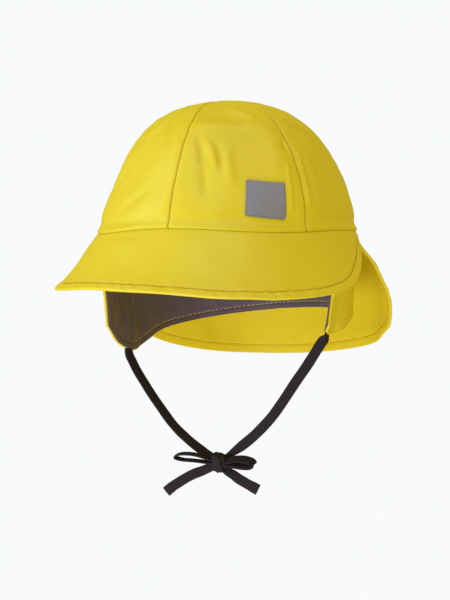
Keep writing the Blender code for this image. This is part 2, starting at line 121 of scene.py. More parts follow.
# Ties and bow
TIE_WIDTH = 0.0062
GATHERED_SHARE = 0.52
TAIL_GATHERED_SHARE = 0.86
GATHER_LENGTH = 0.0150
KNOT_WIDTH = 0.0102
KNOT_DEPTH = 0.0086
KNOT_HEIGHT = 0.0110
KNOT_SQUARENESS = 0.75
LOOP_REACH_LEFT = 0.0229
LOOP_REACH_RIGHT = 0.0281
LOOP_FORWARD = 0.0020
LOOP_TWIST_LEFT = (0.06, 0.80, 0.58)
LOOP_TWIST_RIGHT = (0.10, 0.97, 0.13)
LOOP_HEIGHT_LEFT = 0.62
LOOP_HEIGHT_RIGHT = 0.80
TIE_FACE_LEFT = (0.35, -0.9, 0.2)
TIE_FACE_RIGHT = (0.80, -0.55, 0.1)
TAIL_FACE = (0.3, -0.95, 0.1)

CLEARANCE = 0.0003

# Relief along the lines of a piece: height, distance from the line and half width, in metres
BASE_RIDGE = (0.00052, 0.0014, 0.0011)
BASE_HOLLOW = (-0.00085, 0.0056, 0.0032)
ROOT_ROLL = (-0.0003, 0.0, 0.0012)
SHELL_ROLL = (0.00016, 0.0008, 0.0008)
SHELL_HOLLOW = (-0.00012, 0.0034, 0.0014)

# Waves of the cloth: height and wavelength in metres, seed
CROWN_WAVES = ((0.00020, 0.040, 21), (0.00012, 0.020, 22))
CURTAIN_WAVES = ((0.00026, 0.030, 72), (0.00012, 0.015, 73))
SHEET_WAVES = ((0.00026, 0.040, 2), (0.00012, 0.019, 3))  # seeds counted from the sheet's own
TIE_WIDTH_WAVES = ((0.012, 0.016, 5),)  # heights are shares of the width
TIE_WAVES = ((0.00030, 0.024, 11),)

# Turned hems
HEM_STEP = (-0.0006, 0.0010)  # start and end of the step, from the stitch line
HEM_BELLY = 0.00022
HEM_GROOVE = -0.00050
HEM_GROOVE_WIDTH = 0.00070
HEM_PUCKER = 0.00022
HEM_PUCKER_LENGTH = 0.0070
HEM_PUCKER_SLANT = 0.7
OUTSIDE_PUCKER = 0.00018
OUTSIDE_PUCKER_LENGTH = 0.011
INNER_RELIEF = 0.4  # share of the outer face's relief that the inner face shows
BORDER_POINTS = 1000  # even points of a sheet's free border
SEAM_POINTS = 900  # even points of a line of stitches
STITCHED = slice(6, -6)  # those of them that get stitches
STITCH_SINK = 0.30  # share of the thread that lies in the cloth
# Painted shade along a hem's stitch line: its half width, and how far it darkens the base colour on the
# brim and the neck flap
HEM_SHADE_WIDTH = 0.00045
BRIM_HEM_SHADE = 0.55
NECK_HEM_SHADE = 0.06

# Curtain
SHELL_PUCKER = 0.00014
SHELL_TURNED = 0.55  # share of the lining's wall by which the shell's edge is turned over it
SHELL_TURNED_TO = (0.0004, 0.0009)
LINING_GROOVE = -0.00045
LINING_GROOVE_WIDTH = 0.0008
LINING_PUCKER = 0.00012
LINING_DRAPE = 0.00022

# Crown seams
SEAM_HALF_WIDTH = 0.0007
ALLOWANCE_LEFT = 0.00026  # height on the seam's left side, where the allowance is pressed to
ALLOWANCE_RIGHT = 0.00008
ALLOWANCE_FROM = (0.0004, 0.0014)
ALLOWANCE_TO = (0.0040, 0.0078)
SEAM_PUCKER = 0.00018
SEAM_PUCKER_LENGTH = 0.010
# Painted shade along a crown seam: how far it darkens the base colour, and its half width
SEAM_SHADE = 0.55
SEAM_SHADE_WIDTH = 0.00035
SEAM_OPENING = 0.1 * CLEARANCE  # between two panels
CROWN_EDGE = 0.0002  # rounding along a panel's sides
CROWN_CLOSE_ROWS = (0.011, 0.0005)  # height up to which the rows are close, and their distance
CROWN_CLOSE_SIDES = 0.008
CROWN_TOP_ROW = 0.001  # so near to the peak that no hole shows
CROWN_SEED = 30
TOP_SINK = -0.0009  # at the crown's very top
BASE_TUCK = ((-0.0022, 0.0019), (-0.0014, 0.0015), (-0.0006, 0.0007))  # height and depth of the tucked rows

# Ties and tails: distances along them in metres, from the end that is named or the nearer one
TUCK_ROWS = (0.885, 0.935, 0.985)  # shares down the curtain: two points of the tie, and its direction
HEART_SHARE = 0.25  # of the way from the knot's centre to the route's last point
GATHER_FROM = 0.002  # from the knot
GATHERED_THICKER = 0.55  # share of the thickness
TAIL_HEM = (0.0048, 0.0054)  # from the free end
TAIL_HEM_THICKER = 0.0009
TAIL_HEM_WIDER = 0.05  # share of the width
TUCKED_SHARE = 0.55  # of a tie's thickness, where it is between shell and lining
TIE_FULL_AT = (0.005, 0.009)  # where it comes out from between them
TIE_FLAT_TO = (0.0060, 0.0140)  # where it turns from the curtain's face to its own
TIE_WAVY_FROM = (0.008, 0.016)
TIE_CUP = 0.00018
TAPE_ROUNDING = 0.45  # of the tape's thickness

# Knot's band, the one turn of tape over its front: tilt, half width as a share of the knot's, rise
BAND_TILT = 0.25
BAND_SHARE = 0.26
BAND_RISE = 0.0007
BAND_GROOVE = 0.0005
KNOT_RIB = 0.00016
KNOT_RIB_SPACING = 0.0019
KNOT_POLE = 0.03  # angle at each pole of the knot that a flat face closes, in radians
KNOT_WAVES = ((0.0003, 0.006, 3),)

# Bow loops
LOOP_NARROW = 0.80  # share of the width at the knot
LOOP_WIDE_AT = 0.008
LOOP_CUP = 0.0001

# Borders of a sheet, where the steps that find a normal would leave its formula
EVEN_SIDES = (0.02, 0.98)
EVEN_ABOVE = 0.97
ROOT_ROUNDING = 4  # the edge at the root is rounded this many times more tightly

# Brim edge: angle in degrees, share of BRIM_SLANT, slope below the horizontal in degrees
BRIM_EDGE = (
    (-105.0, 0.07, 72.0),
    (-100.0, 0.22, 69.5),
    (-90.0, 0.42, 65.5),
    (-80.0, 0.60, 61.5),
    (-70.0, 0.77, 57.0),
    (-58.0, 0.850, 53.0),
    (-44.0, 0.885, 49.5),
    (-28.0, 0.905, 47.5),
    (-12.0, 0.950, 47.0),
    (4.0, 0.985, 47.5),
    (20.0, 1.005, 49.0),
    (36.0, 0.99, 50.5),
    (50.0, 0.94, 52.0),
    (62.0, 0.865, 54.0),
    (72.0, 0.75, 57.5),
    (81.0, 0.59, 61.5),
    (90.0, 0.42, 65.5),
    (99.0, 0.24, 69.5),
    (105.0, 0.07, 72.0),
)

# Neck flap edge: angle at the root and at the edge, share of NECK_DROP, share of NECK_FLARE
NECK_EDGE = (
    (106.3, 112.0, 0.500, 1.00),
    (108.5, 113.4, 0.590, 1.00),
    (112.0, 116.0, 0.675, 1.00),
    (117.0, 120.0, 0.738, 1.01),
    (125.0, 127.0, 0.803, 1.02),
    (137.0, 138.0, 0.873, 1.03),
    (153.0, 153.0, 0.938, 1.05),
    (171.0, 171.0, 0.985, 1.08),
    (189.0, 189.0, 1.000, 1.08),
    (207.0, 207.0, 0.985, 1.05),
    (223.0, 222.0, 0.935, 1.03),
    (235.0, 233.0, 0.858, 1.02),
    (243.0, 240.0, 0.760, 1.01),
    (248.0, 244.0, 0.680, 1.00),
    (251.5, 246.6, 0.590, 1.00),
    (253.7, 248.0, 0.500, 1.00),
)

# Curtain edge: angle at the root and at the edge, share of CURTAIN_BACK_DROP, share of what
# the nearer ear flap adds to it, share of that flap's lean
CURTAIN_EDGE = (
    (81.0, 79.0, 0.900, 0.900, 0.55),
    (83.2, 79.9, 0.965, 0.965, 0.85),
    (86.0, 82.8, 1.000, 1.000, 1.00),
    (89.5, 87.6, 1.000, 0.980, 0.95),
    (94.5, 93.5, 1.000, 0.800, 0.70),
    (101.0, 100.5, 1.000, 0.480, 0.44),
    (110.0, 110.0, 1.000, 0.160, 0.33),
    (122.0, 122.0, 1.000, 0.030, 0.30),
    (138.0, 138.0, 0.990, 0.000, 0.30),
    (157.0, 157.0, 0.990, 0.000, 0.30),
    (177.0, 177.0, 1.010, 0.010, 0.28),
    (197.0, 197.0, 1.020, 0.090, 0.26),
    (215.0, 215.0, 1.020, 0.220, 0.28),
    (230.0, 230.0, 1.010, 0.380, 0.36),
    (242.0, 242.0, 1.000, 0.550, 0.56),
    (251.5, 251.0, 1.000, 0.730, 0.74),
    (259.0, 258.0, 1.000, 0.910, 0.94),
    (265.5, 264.0, 1.000, 1.000, 1.02),
    (271.5, 269.6, 0.990, 0.990, 0.94),
    (277.5, 275.0, 0.945, 0.945, 0.72),
    (284.5, 280.0, 0.870, 0.870, 0.46),
    (293.0, 284.5, 0.770, 0.770, 0.24),
)

# Soft folds of a sheet: angle in degrees, half width in degrees, depth inwards in metres
CURTAIN_FOLDS = (
    (86.0, 3.5, 0.0009),
    (95.0, 4.5, -0.0008),
    (252.0, 4.0, 0.0009),
    (259.0, 3.0, -0.0009),
    (267.0, 3.0, 0.0010),
    (275.0, 3.5, -0.0007),
)
NECK_FOLDS = (
    (127.0, 6.0, 0.0014),
    (143.0, 8.0, -0.0012),
    (166.0, 9.0, 0.0010),
    (192.0, 9.0, -0.0010),
    (214.0, 8.0, 0.0012),
    (233.0, 6.0, -0.0012),
)

# Dents of the crown: angle in degrees, share of its height, half widths of both, depth in metres
CROWN_DENTS = (
    (14.0, 0.40, 6.0, 0.22, 0.0010),
    (51.0, 0.50, 5.0, 0.30, -0.0008),
    (67.0, 0.48, 4.0, 0.22, -0.0006),
    (-26.0, 0.55, 10.0, 0.20, 0.0007),
    (-68.0, 0.36, 22.0, 0.21, 0.0021),
    (-100.0, 0.42, 11.0, 0.20, 0.0008),
    (152.0, 0.50, 12.0, 0.22, 0.0008),
)

# Routes of the ties, the part's own points
TIE_ROUTE_LEFT = (
    (0.0675, -0.0115, -0.0624),
    (0.0639, -0.0119, -0.0677),
    (0.0604, -0.0123, -0.0733),
    (0.0569, -0.0127, -0.0788),
    (0.0532, -0.0131, -0.0843),
    (0.0494, -0.0135, -0.0897),
    (0.0457, -0.0139, -0.0953),
    (0.0421, -0.0143, -0.1008),
    (0.0383, -0.0147, -0.1063),
    (0.0343, -0.0151, -0.1117),
    (0.0299, -0.0155, -0.1167),
    (0.0252, -0.0159, -0.1215),
    (0.0202, -0.0163, -0.1260),
    (0.0149, -0.0167, -0.1302),
    (0.0100, -0.0170, -0.1338),
    (0.0075, -0.0171, -0.1356),
)
TIE_ROUTE_RIGHT = (
    (-0.0677, 0.0000, -0.0770),
    (-0.0648, -0.0012, -0.0818),
    (-0.0612, -0.0024, -0.0868),
    (-0.0574, -0.0036, -0.0916),
    (-0.0535, -0.0048, -0.0964),
    (-0.0495, -0.0060, -0.1011),
    (-0.0454, -0.0072, -0.1057),
    (-0.0412, -0.0084, -0.1102),
    (-0.0370, -0.0096, -0.1145),
    (-0.0326, -0.0108, -0.1188),
    (-0.0280, -0.0120, -0.1228),
    (-0.0230, -0.0132, -0.1264),
    (-0.0177, -0.0144, -0.1297),
    (-0.0124, -0.0156, -0.1327),
    (-0.0075, -0.0165, -0.1351),
    (-0.0030, -0.0171, -0.1369),
)
KNOT_CENTRE = (0.0026, -0.0205, -0.1398)

# Bow loops: distance from the knot's centre and height over it, as shares of the loop's reach
LOOP_ROUTE_LEFT = (
    (0.08, 0.04),
    (0.31, 0.13),
    (0.50, 0.19),
    (0.72, 0.20),
    (0.92, 0.13),
    (1.00, 0.02),
    (0.92, -0.07),
    (0.73, -0.09),
    (0.52, -0.06),
    (0.31, -0.02),
    (0.08, -0.01),
)
LOOP_ROUTE_RIGHT = (
    (0.06, 0.04),
    (0.26, 0.11),
    (0.44, 0.17),
    (0.65, 0.20),
    (0.86, 0.19),
    (0.98, 0.14),
    (0.98, 0.08),
    (0.84, 0.04),
    (0.63, 0.03),
    (0.44, 0.02),
    (0.26, 0.00),
    (0.06, -0.01),
)
TAIL_ROUTE_LEFT = (
    (0.0074, -0.0191, -0.1450),
    (0.0114, -0.0196, -0.1470),
    (0.0150, -0.0204, -0.1490),
    (0.0198, -0.0213, -0.1511),
    (0.0245, -0.0220, -0.1531),
    (0.0284, -0.0225, -0.1547),
)
TAIL_ROUTE_RIGHT = (
    (-0.0034, -0.0190, -0.1430),
    (-0.0090, -0.0195, -0.1456),
    (-0.0136, -0.0205, -0.1474),
    (-0.0182, -0.0214, -0.1498),
    (-0.0228, -0.0222, -0.1527),
    (-0.0272, -0.0229, -0.1557),
    (-0.0312, -0.0235, -0.1591),
)

CREASE_STRENGTH = 1.9  # multiplies the depths in the table below

# Creases of the crown: angle and share of height at both ends, half width and depth in metres
CROWN_CREASES = (
    (-1.0, 0.755, 56.0, 0.735, 0.0036, -0.0014),
    (2.0, 0.870, 40.0, 0.800, 0.0065, 0.0011),
    (24.0, 0.93, 48.0, 0.80, 0.0026, -0.0006),
    (7.0, 0.70, 12.5, 0.46, 0.0022, 0.0009),
    (12.5, 0.46, 15.0, 0.22, 0.0022, 0.0006),
    (13.0, 0.66, 19.5, 0.42, 0.0020, -0.0006),
    (19.0, 0.62, 22.0, 0.40, 0.0018, 0.0007),
    (24.0, 0.60, 26.0, 0.30, 0.0030, -0.0005),
    (53.0, 0.12, 54.5, 0.50, 0.0016, -0.0007),
    (56.0, 0.56, 59.0, 0.72, 0.0020, 0.0008),
    (62.5, 0.16, 63.5, 0.60, 0.0014, -0.0009),
    (66.5, 0.22, 66.5, 0.55, 0.0022, 0.0006),
    (70.0, 0.80, 96.0, 0.66, 0.0040, 0.0011),
    (76.0, 0.70, 98.0, 0.56, 0.0030, -0.0009),
    (90.0, 0.74, 104.0, 0.52, 0.0024, 0.0010),
    (72.0, 0.52, 84.0, 0.22, 0.0040, 0.0006),
    (-4.0, 0.16, 34.0, 0.10, 0.0034, 0.0006),
    (-34.0, 0.12, -12.0, 0.30, 0.0034, 0.0005),
    (-8.0, 0.62, -24.0, 0.86, 0.0030, 0.0005),
    (-40.0, 0.70, -22.0, 0.84, 0.0034, -0.0005),
    (-50.0, 0.30, -38.0, 0.52, 0.0040, 0.0005),
    (-84.0, 0.20, -74.0, 0.60, 0.0034, 0.0006),
    (98.0, 0.10, 108.0, 0.50, 0.0040, 0.0005),
    (152.0, 0.60, 128.0, 0.72, 0.0034, 0.0006),
    (196.0, 0.12, 206.0, 0.50, 0.0040, 0.0006),
    (232.0, 0.20, 226.0, 0.60, 0.0036, -0.0005),
    (252.0, 0.30, 262.0, 0.66, 0.0036, 0.0006),
)

# Creases of a sheet: share along and down it at both ends, half width and depth in metres
BRIM_CREASES = (
    (0.365, 0.10, 0.445, 0.13, 0.0013, 0.0009),
    (0.365, 0.02, 0.435, 0.05, 0.0012, -0.0004),
    (0.60, 0.30, 0.78, 0.42, 0.0050, 0.0007),
    (0.22, 0.30, 0.36, 0.55, 0.0050, -0.0005),
    (0.50, 0.55, 0.66, 0.74, 0.0050, -0.0006),
    (0.80, 0.20, 0.87, 0.80, 0.0034, 0.0006),
)
NECK_CREASES = (
    (0.030, 0.16, 0.016, 0.42, 0.0016, 0.0006),
    (0.055, 0.10, 0.030, 0.38, 0.0018, -0.0007),
    (0.085, 0.14, 0.060, 0.48, 0.0022, 0.0007),
    (0.115, 0.20, 0.085, 0.55, 0.0026, -0.0006),
    (0.94, 0.12, 0.96, 0.50, 0.0022, 0.0006),
    (0.20, 0.35, 0.26, 0.80, 0.0060, 0.0007),
    (0.40, 0.30, 0.47, 0.90, 0.0060, 0.0006),
    (0.68, 0.30, 0.60, 0.90, 0.0060, -0.0006),
)
CURTAIN_CREASES = (
    (0.030, 0.30, 0.036, 0.95, 0.0013, -0.0006),
    (0.055, 0.25, 0.066, 0.90, 0.0024, 0.0008),
    (0.105, 0.30, 0.100, 0.85, 0.0026, -0.0006),
    (0.780, 0.30, 0.822, 0.94, 0.0018, 0.0010),
    (0.815, 0.35, 0.832, 0.94, 0.0014, -0.0009),
    (0.846, 0.10, 0.842, 0.92, 0.0012, -0.0013),
    (0.868, 0.15, 0.856, 0.90, 0.0018, 0.0013),
    (0.892, 0.15, 0.872, 0.94, 0.0016, -0.0008),
    (0.925, 0.10, 0.895, 0.92, 0.0024, 0.0009),
    (0.720, 0.30, 0.700, 0.85, 0.0030, 0.0006),
)

# Columns and rows of each fine mesh
CROWN_GRID = (56, 56)
BRIM_GRID = (330, 34)
NECK_GRID = (250, 40)
CURTAIN_GRID = (300, 30)
PATCH_GRID = (64, 56)
KNOT_GRID = (64, 40)
TAPE_SAMPLES_PER_METRE = 2200
TAPE_SECTION_POINTS = 28
CLOSE_STEP = 0.00038  # between the close columns or rows near a border
CLOSE_AT_SIDES = 0.007
CLOSE_AT_ROOT = 0.004
CLOSE_AT_EDGE = 0.0085

# The photo's camera
IMAGE_HEIGHT = 600
SCALE_AT_CENTRE = 0.000614  # metres for each pixel of the photo, at the hat's centre
VIEW_SIDE_SHIFT = 3.3  # pixels by which the hat stands beside the image's middle
VIEW_CENTRE_HEIGHT = -0.0424

# Colours that aren't a user's to change, and the studio's sizes
PAINTED_GROOVE_SHADE = (0.40, 0.22, 0.003)  # painted shade: the cloth's colour where a stitch line or a seam sinks in and shades it
LIGHT_COLOUR = (0.97, 1.0, 1.0)
AIR_COLOUR = (1.0, 0.72, 0.13, 1.0)
AIM = (0.0, 0.0, -0.02)
FLOOR_RADIUS = 2.2
BEND_RADIUS = 1.2
WALL_TOP = 3.0
FLOOR_RINGS = 16
BEND_RINGS = 24
BACKDROP_SIDES = 96


def length_property(name, description, value):
    """Length in metres that a user can change."""
    return bpy.props.FloatProperty(name=name, description=description, default=value, unit="LENGTH")


def power_property(name, description, value):
    """Power of a light in watts."""
    return bpy.props.FloatProperty(name=name, description=description, default=value, unit="POWER")


def angle_property(name, description, degrees):
    """Angle given in degrees and kept in radians."""
    return bpy.props.FloatProperty(
        name=name, description=description, default=math.radians(degrees), subtype="ANGLE"
    )


def colour_property(name, description, value):
    """Linear colour of three channels."""
    return bpy.props.FloatVectorProperty(
        name=name, description=description, default=value, size=3, subtype="COLOR", min=0.0, max=1.0
    )


class HatCloth(bpy.types.PropertyGroup):
    """Sizes of hems, seams and stitching."""

    brim_hem: length_property("Brim hem", "Edge to stitch line", 0.0055)
    neck_hem: length_property("Neck hem", "Edge to stitch line", 0.0056)
    curtain_hem: length_property("Curtain hem", "Edge to stitch line", 0.0044)
    hem_rise: length_property("Hem rise", "Thickness that a turned hem adds", 0.00020)
    seam_depth: length_property("Seam depth", "Depth of the groove along a seam", 0.00045)
    stitch_length: length_property("Stitch", "Length of one stitch", 0.0024)
    stitch_gap: length_property("Stitch gap", "Gap between two stitches", 0.0007)
    thread: length_property("Thread", "Diameter of the thread", 0.00038)
    tape: length_property("Tape", "Thickness of the ties' tape", 0.0012)
    patch: length_property("Patch", "Thickness of the reflective patch", 0.0006)


class HatColours(bpy.types.PropertyGroup):
    """Linear base colours."""

    coating: colour_property("Coating", "Outer face of the cloth", (0.725, 0.690, 0.034))
    backing: colour_property("Backing", "Inner face of the cloth", (0.790, 0.665, 0.012))
    lining: colour_property("Lining", "Brushed knit lining", (0.098, 0.084, 0.180))
    film: colour_property("Film", "Reflective patch", (0.242, 0.292, 0.660))
    tape: colour_property("Tape", "Ties and bow", (0.0255, 0.0225, 0.0440))
    thread: colour_property("Thread", "Stitching of the yellow cloth", (0.62, 0.43, 0.010))
    lining_thread: colour_property("Lining thread", "Stitches seen on the lining", (0.80, 0.68, 0.22))
    studio: colour_property("Studio", "Floor and backdrop", (0.939, 0.956, 0.965))


class HatStudio(bpy.types.PropertyGroup):
    """Camera and lights."""

    azimuth: angle_property("Azimuth", "Camera to the wearer's left of the front", 22.5)
    elevation: angle_property("Elevation", "Camera above the level", 1.4)
    distance: length_property("Distance", "Camera to the hat's centre", 0.95)
    key: power_property("Key", "Large light at the left", 5.6)
    high: power_property("High", "Light above on the left", 3.0)
    under: power_property("Under", "Light from below in front", 12.0)
    top: power_property("Top", "Light above the brim", 4.8)
    ambient: bpy.props.FloatProperty(name="Ambient", description="Even light all round", default=0.64)
    floor: length_property("Floor", "Height of the floor", -0.30)


def unit(vectors):
    """The same directions, each 1 long."""
    return vectors / np.linalg.norm(vectors, axis=-1, keepdims=True)


def dot(a, b):
    """Dot products along the last axis, which is kept."""
    return (a * b).sum(-1, keepdims=True)


def smooth_step(value, start, end):
    """0 before start, 1 after end and a smooth rise between them."""
    share = np.clip((value - start) / (end - start), 0, 1)
    return share * share * (3 - 2 * share)


def hump(value, middle, width):
    """Bell that is 1 at its middle and falls to a third one width away."""
    return np.exp(-(((value - middle) / width) ** 2))


def ridge(away, form):
    """Bell-shaped ridge along a line, or a groove if its height is negative."""
    height, middle, width = form
    return height * hump(away, middle, width)


def eased(share):
    """Rises from 0 to 1 as share does, and then stays."""
    return np.sin(np.minimum(share, 1) * math.pi / 2)


def spline(rows, places):
    """Catmull-Rom curve through the rows of a table, at places from 0 (first) to 1 (last)."""
    table = np.asarray(rows, float)
    table = np.vstack([2 * table[0] - table[1], table, 2 * table[-1] - table[-2]])
    along = np.clip(np.asarray(places, float), 0.0, 1.0) * (len(rows) - 1)
    first = np.minimum(along.astype(int), len(rows) - 2)
    f = (along - first)[..., None]
    p0, p1, p2, p3 = (table[first + k] for k in range(4))
    return 0.5 * (
        2 * p1 + (p2 - p0) * f + (2 * p0 - 5 * p1 + 4 * p2 - p3) * f**2 + (3 * p1 - p0 - 3 * p2 + p3) * f**3
    )


def run_length(points):
    """Distance along a line of points, from its first one."""
    steps = np.linalg.norm(np.diff(points, axis=0), axis=1)
    return np.concatenate([[0.0], np.cumsum(steps)])


def evenly(points, count):
    """The same line with count points, evenly spaced along it."""
    run = run_length(points)
    places = np.linspace(0, run[-1], count)
    return np.stack([np.interp(places, run, points[:, k]) for k in range(3)], -1)


def ripples(points, wavelength, seed, waves=8):
    """Sum of sine waves of about one wavelength, in seeded random directions, mostly within 1."""
    random = np.random.default_rng(seed)
    directions = unit(random.normal(size=(waves, points.shape[-1])))
    lengths = wavelength * random.uniform(0.75, 1.35, waves)
    phases = random.uniform(0, 2 * math.pi, waves)
    return np.sin(points @ (directions.T * (2 * math.pi / lengths)) + phases).sum(-1) / math.sqrt(waves)


def border_ripples(run, away, stretch, wavelength, seed):
    """Ripples along a border, drawn out across it by taking only a share of the distance from it."""
    return ripples(np.stack([run, away * stretch], -1), wavelength, seed)


def wave_height(points, waves, seed=0):
    """Sum of a table's waves over the cloth, with seeds counted from the given one."""
    return sum(height * ripples(points, length, seed + number) for height, length, number in waves)


def crease(points, start, end, width, depth):
    """Hollow along the straight line between two points, deepest half way and gone at its ends."""
    line = end - start
    along = np.clip(((points - start) @ line) / (line @ line), 0, 1)
    away = np.linalg.norm(points - start - along[..., None] * line, axis=-1)
    return -depth * np.sin(math.pi * along) ** 0.7 * hump(away, 0, width)


def distance_to_line(points, line):
    """Distance from each point to the nearest place of a line, and how far along that place is."""
    flat = points.reshape(-1, 3)
    square = (flat**2).sum(1)[:, None] + (line**2).sum(1) - 2 * flat @ line.T
    nearest = square.argmin(1)
    tangent = unit(np.gradient(line, axis=0))[nearest]
    offset = flat - line[nearest]
    along = (offset * tangent).sum(1)
    away = np.sqrt(np.maximum((offset**2).sum(1) - along**2, 0))
    run = run_length(line)[nearest] + along
    return away.reshape(points.shape[:-1]), run.reshape(points.shape[:-1])


def rim(angle):
    """Point of the head opening's ellipse, on the outside of the crown."""
    return np.stack([HEAD_WIDTH / 2 * np.sin(angle), -HEAD_LENGTH / 2 * np.cos(angle)], -1)


def rim_outward(angle):
    """Outward normal of the head opening's ellipse."""
    return unit(np.stack([np.sin(angle) * HEAD_LENGTH, -np.cos(angle) * HEAD_WIDTH], -1))


def seam_height(angle):
    """The base seam dips on both sides of the forehead and is level from ear to ear behind."""
    return np.where(np.cos(angle) > 0, -SEAM_DIP * np.sin(2 * angle) ** 2, 0.0)


def hung_point(angle, out, drop):
    """Point at a distance out from the base seam and a drop below it."""
    plan = rim(angle) + rim_outward(angle) * out[..., None]
    return np.concatenate([plan, (seam_height(angle) - drop)[..., None]], -1)


def fold_depth(folds, angle):
    """Sum of the folds at an angle in degrees, each a smooth hump."""
    return sum(depth * hump(angle, middle, width) for middle, width, depth in folds)


def dome_height(plan):
    """Height of the dome over a point of its plan, from how far out in the ellipse it is."""
    spread = np.hypot(plan[..., 0] / (HEAD_WIDTH / 2), plan[..., 1] / (HEAD_LENGTH / 2))
    return CROWN_HEIGHT * np.clip(1 - spread**CROWN_FULLNESS, 0, 1) ** (1 / CROWN_ROUNDNESS)


def dome_outward(plan, rise):
    """Outward direction of the dome, from the slopes of the formula in dome_height."""
    half = np.array([HEAD_WIDTH / 2, HEAD_LENGTH / 2])
    spread = np.linalg.norm(plan / half, axis=-1)[..., None] + 1e-9
    level = CROWN_FULLNESS * spread ** (CROWN_FULLNESS - 2) * plan / half**2
    steep = CROWN_ROUNDNESS * (rise + 1e-4) ** (CROWN_ROUNDNESS - 1) / CROWN_HEIGHT
    steep = steep * np.minimum(rise / DOME_UPRIGHT_BELOW, 1)
    return unit(np.concatenate([level, steep[..., None]], -1))


def dent_depth(angle, rise):
    """Sum of the crown's dents, each a smooth hollow across and up."""
    turn = (np.degrees(angle) + 180) % 360 - 180
    return sum(
        depth * hump(turn, middle, width) * hump(rise, level, tall)
        for middle, level, width, tall, depth in CROWN_DENTS
    )


def crown_point(angle, reach):
    """Point of the crown's outer face and its outward direction; reach is 1 at the base seam."""
    apex = np.array([-CROWN_APEX_SIDE, -CROWN_APEX_FORWARD])
    plan = rim(angle) * reach[..., None] + apex * ((1 - reach) ** 2)[..., None]
    height = dome_height(plan)
    rise = height / CROWN_HEIGHT
    flat = PANEL_FLATNESS * np.sin(PANEL_COUNT / 2 * angle) ** 2 * eased(rise / PANEL_FLAT_FROM)
    base = (height + seam_height(angle) * (1 - rise))[..., None]
    outward = dome_outward(plan, rise)
    point = np.concatenate([plan * (1 - flat)[..., None], base], -1)
    point = point - outward * dent_depth(angle, rise)[..., None]
    point[..., 1] += CROWN_LEAN_BACK * eased(rise / CROWN_LEAN_FROM)
    point[..., 2] += CLEARANCE / 2
    return point, outward, rise


def reach_at(rise):
    """Reach at which the crown has a share of its height."""
    return (1 - np.asarray(rise) ** CROWN_ROUNDNESS) ** (1 / CROWN_FULLNESS)


def crown_spot(angle, rise):
    """Point of the crown at an angle in degrees and a share of its height."""
    return crown_point(np.radians(angle), reach_at(rise))[0]


def brim_surface(u, v):
    """u runs along the edge from the wearer's right to the left, v from root to edge."""
    edge = spline(BRIM_EDGE, u)
    angle, slope = np.radians(edge[..., 0]), np.radians(edge[..., 2])
    slant = edge[..., 1] * BRIM_SLANT
    sag = BRIM_SAG * np.sin(math.pi * np.clip(v, 0, 1) ** BRIM_SAG_OUTWARDS) * edge[..., 1] ** 2
    out = slant * v * np.cos(slope) - sag * np.sin(slope)
    drop = slant * v * np.sin(slope) + sag * np.cos(slope)
    return hung_point(angle, out, drop + CLEARANCE / 2)


def neck_surface(u, v):
    """u runs from the wearer's left round the back to the right, v from root to edge."""
    root, edge, drop_share, flare_share = np.moveaxis(spline(NECK_EDGE, u), -1, 0)
    below = np.clip(v, 0, None)
    drop = drop_share * NECK_DROP * v
    swing = np.clip(drop / NECK_FLARE_DEPTH, 0, 1)
    out = NECK_FLARE * flare_share * (1 - (1 - swing) ** 2) * np.minimum(swing / NECK_ROOT_SHARE, 1)
    upright = sum(ridge(drop, form) for form in NECK_DRAWN_IN)
    angle = root + (edge - root) * below**NECK_SPREAD
    out = out * (1 - upright) - fold_depth(NECK_FOLDS, angle) * below**2
    return hung_point(np.radians(angle), out, drop + CLEARANCE / 2)


def curtain_surface(u, v):
    """u runs from the wearer's left ear round the back to the right ear, v downwards."""
    root, edge, back_share, flap_share, lean_share = np.moveaxis(spline(CURTAIN_EDGE, u), -1, 0)
    on_left = root < 180
    flap = np.where(on_left, FLAP_DROP_LEFT, FLAP_DROP_RIGHT)
    lean = np.where(on_left, FLAP_LEAN_LEFT, FLAP_LEAN_RIGHT) * lean_share
    depth = CURTAIN_BACK_DROP * back_share + (flap - CURTAIN_BACK_DROP) * flap_share
    drop = depth * v - CURTAIN_TUCK * (1 - v)
    below = np.clip(v, 0, None)
    out = CURTAIN_BULGE * below**2 - lean * below**FLAP_LEAN_DEPTH - (BRIM_WALL + 2 * CLEARANCE)
    angle = root + (edge - root) * below**2
    out = out - fold_depth(CURTAIN_FOLDS, angle) * below**2
    return hung_point(np.radians(angle), out, drop)


def inward_direction(surface, u, v):
    """Unit normal of surface(u, v) on its under side, found by small steps."""
    step = 1e-4
    along = surface(u + step, v) - surface(u - step, v)
    down = surface(u, v + step) - surface(u, v - step)
    return unit(np.cross(along, down))


def run_down(points):
    """Distance of each point of a grid from the first one of its column, along the column."""
    steps = np.linalg.norm(np.diff(points, axis=0), axis=-1)
    return np.vstack([np.zeros((1, points.shape[1])), np.cumsum(steps, axis=0)])


def grid_faces(rows, columns, wrap=False):
    """Quads of a grid of points, with its last column joined to its first if it wraps."""
    index = np.arange(rows * columns).reshape(rows, columns)
    beside = np.roll(index, -1, axis=1)
    if not wrap:
        index, beside = index[:, :-1], beside[:, :-1]
    return np.stack([index[:-1], beside[:-1], beside[1:], index[1:]], -1).reshape(-1, 4)


def signed_volume(vertices, faces):
    """Six times the volume inside the quads, below zero where they face inwards."""
    a, b, c, d = (vertices[faces[:, k]] for k in range(4))
    return (np.einsum("ij,ij->i", a, np.cross(b, c)) + np.einsum("ij,ij->i", a, np.cross(c, d))).sum()


